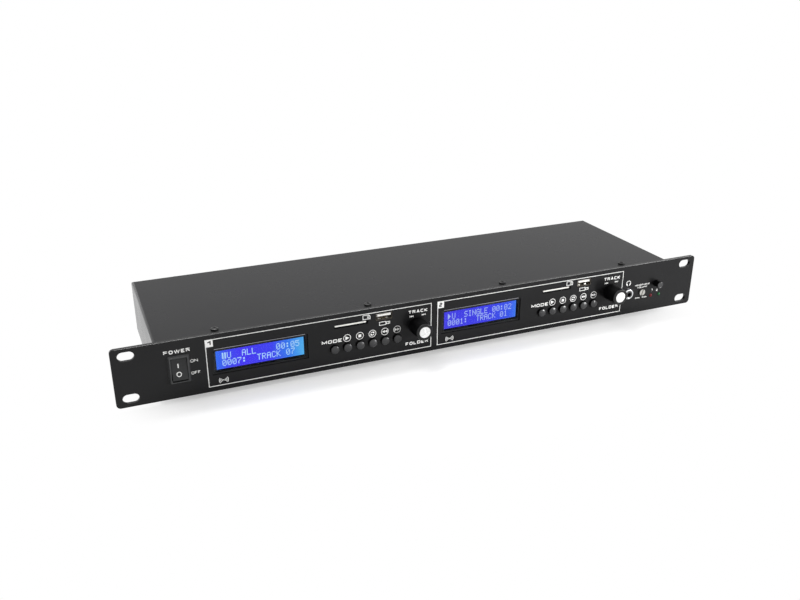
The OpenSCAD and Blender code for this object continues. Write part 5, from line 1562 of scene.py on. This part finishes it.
@dataclass
class PowerSwitch:
    """The mains rocker: housing, rocker and the two marks on its hollow face."""

    bezel: tuple[float, float, float] = (15.0, 21.0, 2.0)
    well: tuple[float, float] = (11.0, 17.44)
    block: tuple[float, float, float] = (13.0, 19.0, 14.0)
    keel: float = 3.7
    arm: float = 4.0
    height: float = 15.4
    swing_deg: float = 18.0
    mark_x: float = -0.7
    on_mark: tuple[float, float, float] = (2.5, 0.75, 3.2)
    on_steps: int = 8
    off_mark: tuple[float, float, float] = (-3.6, 1.8, 0.58)
    ink: float = 0.05

    def build(self) -> None:
        """Dress the switch and print the marks on the rocker."""
        dress(SWITCH_PLASTIC, "power_rocker")
        self.build_housing()
        z, width, tall = self.on_mark
        step = tall / self.on_steps
        line = join([bar(width, step, self.ink).moved(z=z + (place - (self.on_steps - 1) / 2) * step)
                     for place in range(self.on_steps)])
        z, radius, stroke = self.off_mark
        ring = ribbon(arc(radius - stroke / 2, count=40), stroke, self.ink, closed=True).moved(z=z)
        make_piece("rocker_marks", join([line, ring]).bent(self.on_face), WHITE_INK, "power_rocker")

    def build_housing(self) -> None:
        """Shape the housing: from the well's floor up to the lip, down the bezel's sloped frame and round the block."""
        x, z = FACE.spot("power_switch_housing")
        wide, tall, out = self.bezel[0] / 2, self.bezel[1] / 2, self.bezel[2]
        well_w, well_h = self.well[0] / 2, self.well[1] / 2
        block_w, block_h, deep = self.block[0] / 2, self.block[1] / 2, self.block[2]
        floor = FACE.front - self.pivot()[1] - self.keel
        well = [(0, 0, 0, floor), (block_w - 0.1, well_h, 0.2, floor), (block_w - 0.1, well_h, 0.2, -0.6),
                (well_w, well_h, 0.2, -0.6), (well_w, well_h, 0.2, out - 0.25), (well_w + 0.2, well_h + 0.2, 0.4, out)]
        slope = [(wide - 1.1, tall - 0.95, 0.6, out), (wide - 0.95, tall - 0.8, 0.7, out - 0.1),
                 (wide - 0.05, tall - 0.05, 1.0, 0.35), (wide, tall, 1.0, 0.2), (wide, tall, 1.0, 0.0)]
        block = [(block_w, block_h, 0.3, 0.0), (block_w, block_h, 0.3, -deep), (0, 0, 0, -deep)]
        housing = loft(well + slope + block)
        make_piece("switch_housing", housing.moved(x, z), BEZEL_PLASTIC, "case",
                   ["power_switch_housing"], sharp_deg=25.0)

    @staticmethod
    def pivot() -> np.ndarray:
        """Return the rocker's pivot in millimetres of the frame."""
        joint = next(j for j in frame["record"]["behaviour"]["joints"] if j["name"] == "power_rocker_tilt")
        return np.array(joint["pos_m"]) / MM

    def on_face(self, points: np.ndarray) -> np.ndarray:
        """Wrap flat marks on the rocker's face: an arc from tip to tip, tilted about the pivot by half the swing.

        Args:
            points: Rows of x, height along the face and distance off it.

        Returns:
            Rows of x, z and h on the panel.
        """
        pivot = self.pivot()
        tilt = math.radians(self.swing_deg / 2)
        half, rise = self.height / 2, self.height / 2 * math.tan(tilt)
        radius = (half ** 2 + rise ** 2) / (2 * rise)
        x, z, h = points.T
        out = self.arm + radius - np.sqrt(radius ** 2 - z ** 2) + h
        back = -out * math.cos(tilt) + z * math.sin(tilt)
        up = out * math.sin(tilt) + z * math.cos(tilt)
        return np.stack([x + pivot[0] + self.mark_x, pivot[2] + up - FACE.middle, FACE.front - pivot[1] - back], axis=1)


@dataclass
class Phones:
    """Headphone jack, level control, source button and the two lamps."""

    ring_r: float = 4.5
    bore_r: float = 3.05
    ring_out: float = 2.0
    button_r: float = 2.8
    button_out: float = 6.3
    button_back: float = -4.7
    stem: tuple[float, float] = (1.6, -9.0)

    def build(self) -> None:
        """Turn the ring nut and the source button, and dress the rest."""
        x, z = FACE.spot("jack_nut")
        profile = rounded([
            (self.bore_r, 0.0, 0), (self.bore_r, self.ring_out, 0.25), (self.ring_r, self.ring_out, 0.7),
            (self.ring_r, 0.0, 0.05), (self.bore_r, 0.0, 0)], steps=9)
        make_piece("jack_ring", lathe(profile, 80).moved(x, z), CHROME, "case", ["jack_nut"])
        x, z = FACE.spot("select_button")
        profile = rounded([
            (0.0, self.button_out - 0.15, 0), (self.button_r - 0.9, self.button_out - 0.15, 0.3),
            (self.button_r - 0.5, self.button_out, 0.15), (self.button_r, self.button_out - 0.3, 0.3),
            (self.button_r, self.button_back, 0.05), (self.stem[0], self.button_back, 0),
            (self.stem[0], self.stem[1], 0.1), (0.0, self.stem[1], 0)])
        cap = make_piece("select_cap", lathe(profile, 64).moved(x, z), BUTTON_PLASTIC, "select_button",
                         ["select_button"])
        # Painted shade: the cap's side drawn near black
        darken(cap, self.button_out - 0.4)
        dress(BLACK_PLASTIC, "jack_body")
        dress(NICKEL, "volume_shaft")
        dress(RED_LAMP, "led_red")
        dress(GREEN_LAMP, "led_green")


def main() -> None:
    """Build the studio and the player's sub-assemblies in order."""
    logging.basicConfig(level=logging.INFO, format="%(name)s %(message)s")
    decks = (
        Deck(1, ("=U  ALL    00:05", "0007:  TRACK 07 "),
             ((0.0, "3A78F4"), (0.13, "4650F2"), (0.3, "4C3CF4"), (0.62, "4446F2"), (0.84, "3A80EE"), (1.0, "58B4EE")),
             "BCE4FF", 0.9),
        Deck(2, (">U  SINGLE 00:02", "0001:  TRACK 01 "),
             ((0.0, "4A44E6"), (0.6, "4242EA"), (0.9, "3E5AEE"), (1.0, "4880F0")),
             "B4C8F4", 0.0),
    )
    for assembly in (Studio(), Case(), *decks, SidePrint(), PowerSwitch(), Phones()):
        assembly.build()
        LOG.info("%s built", type(assembly).__name__)


if __name__ == "__main__":
    main()
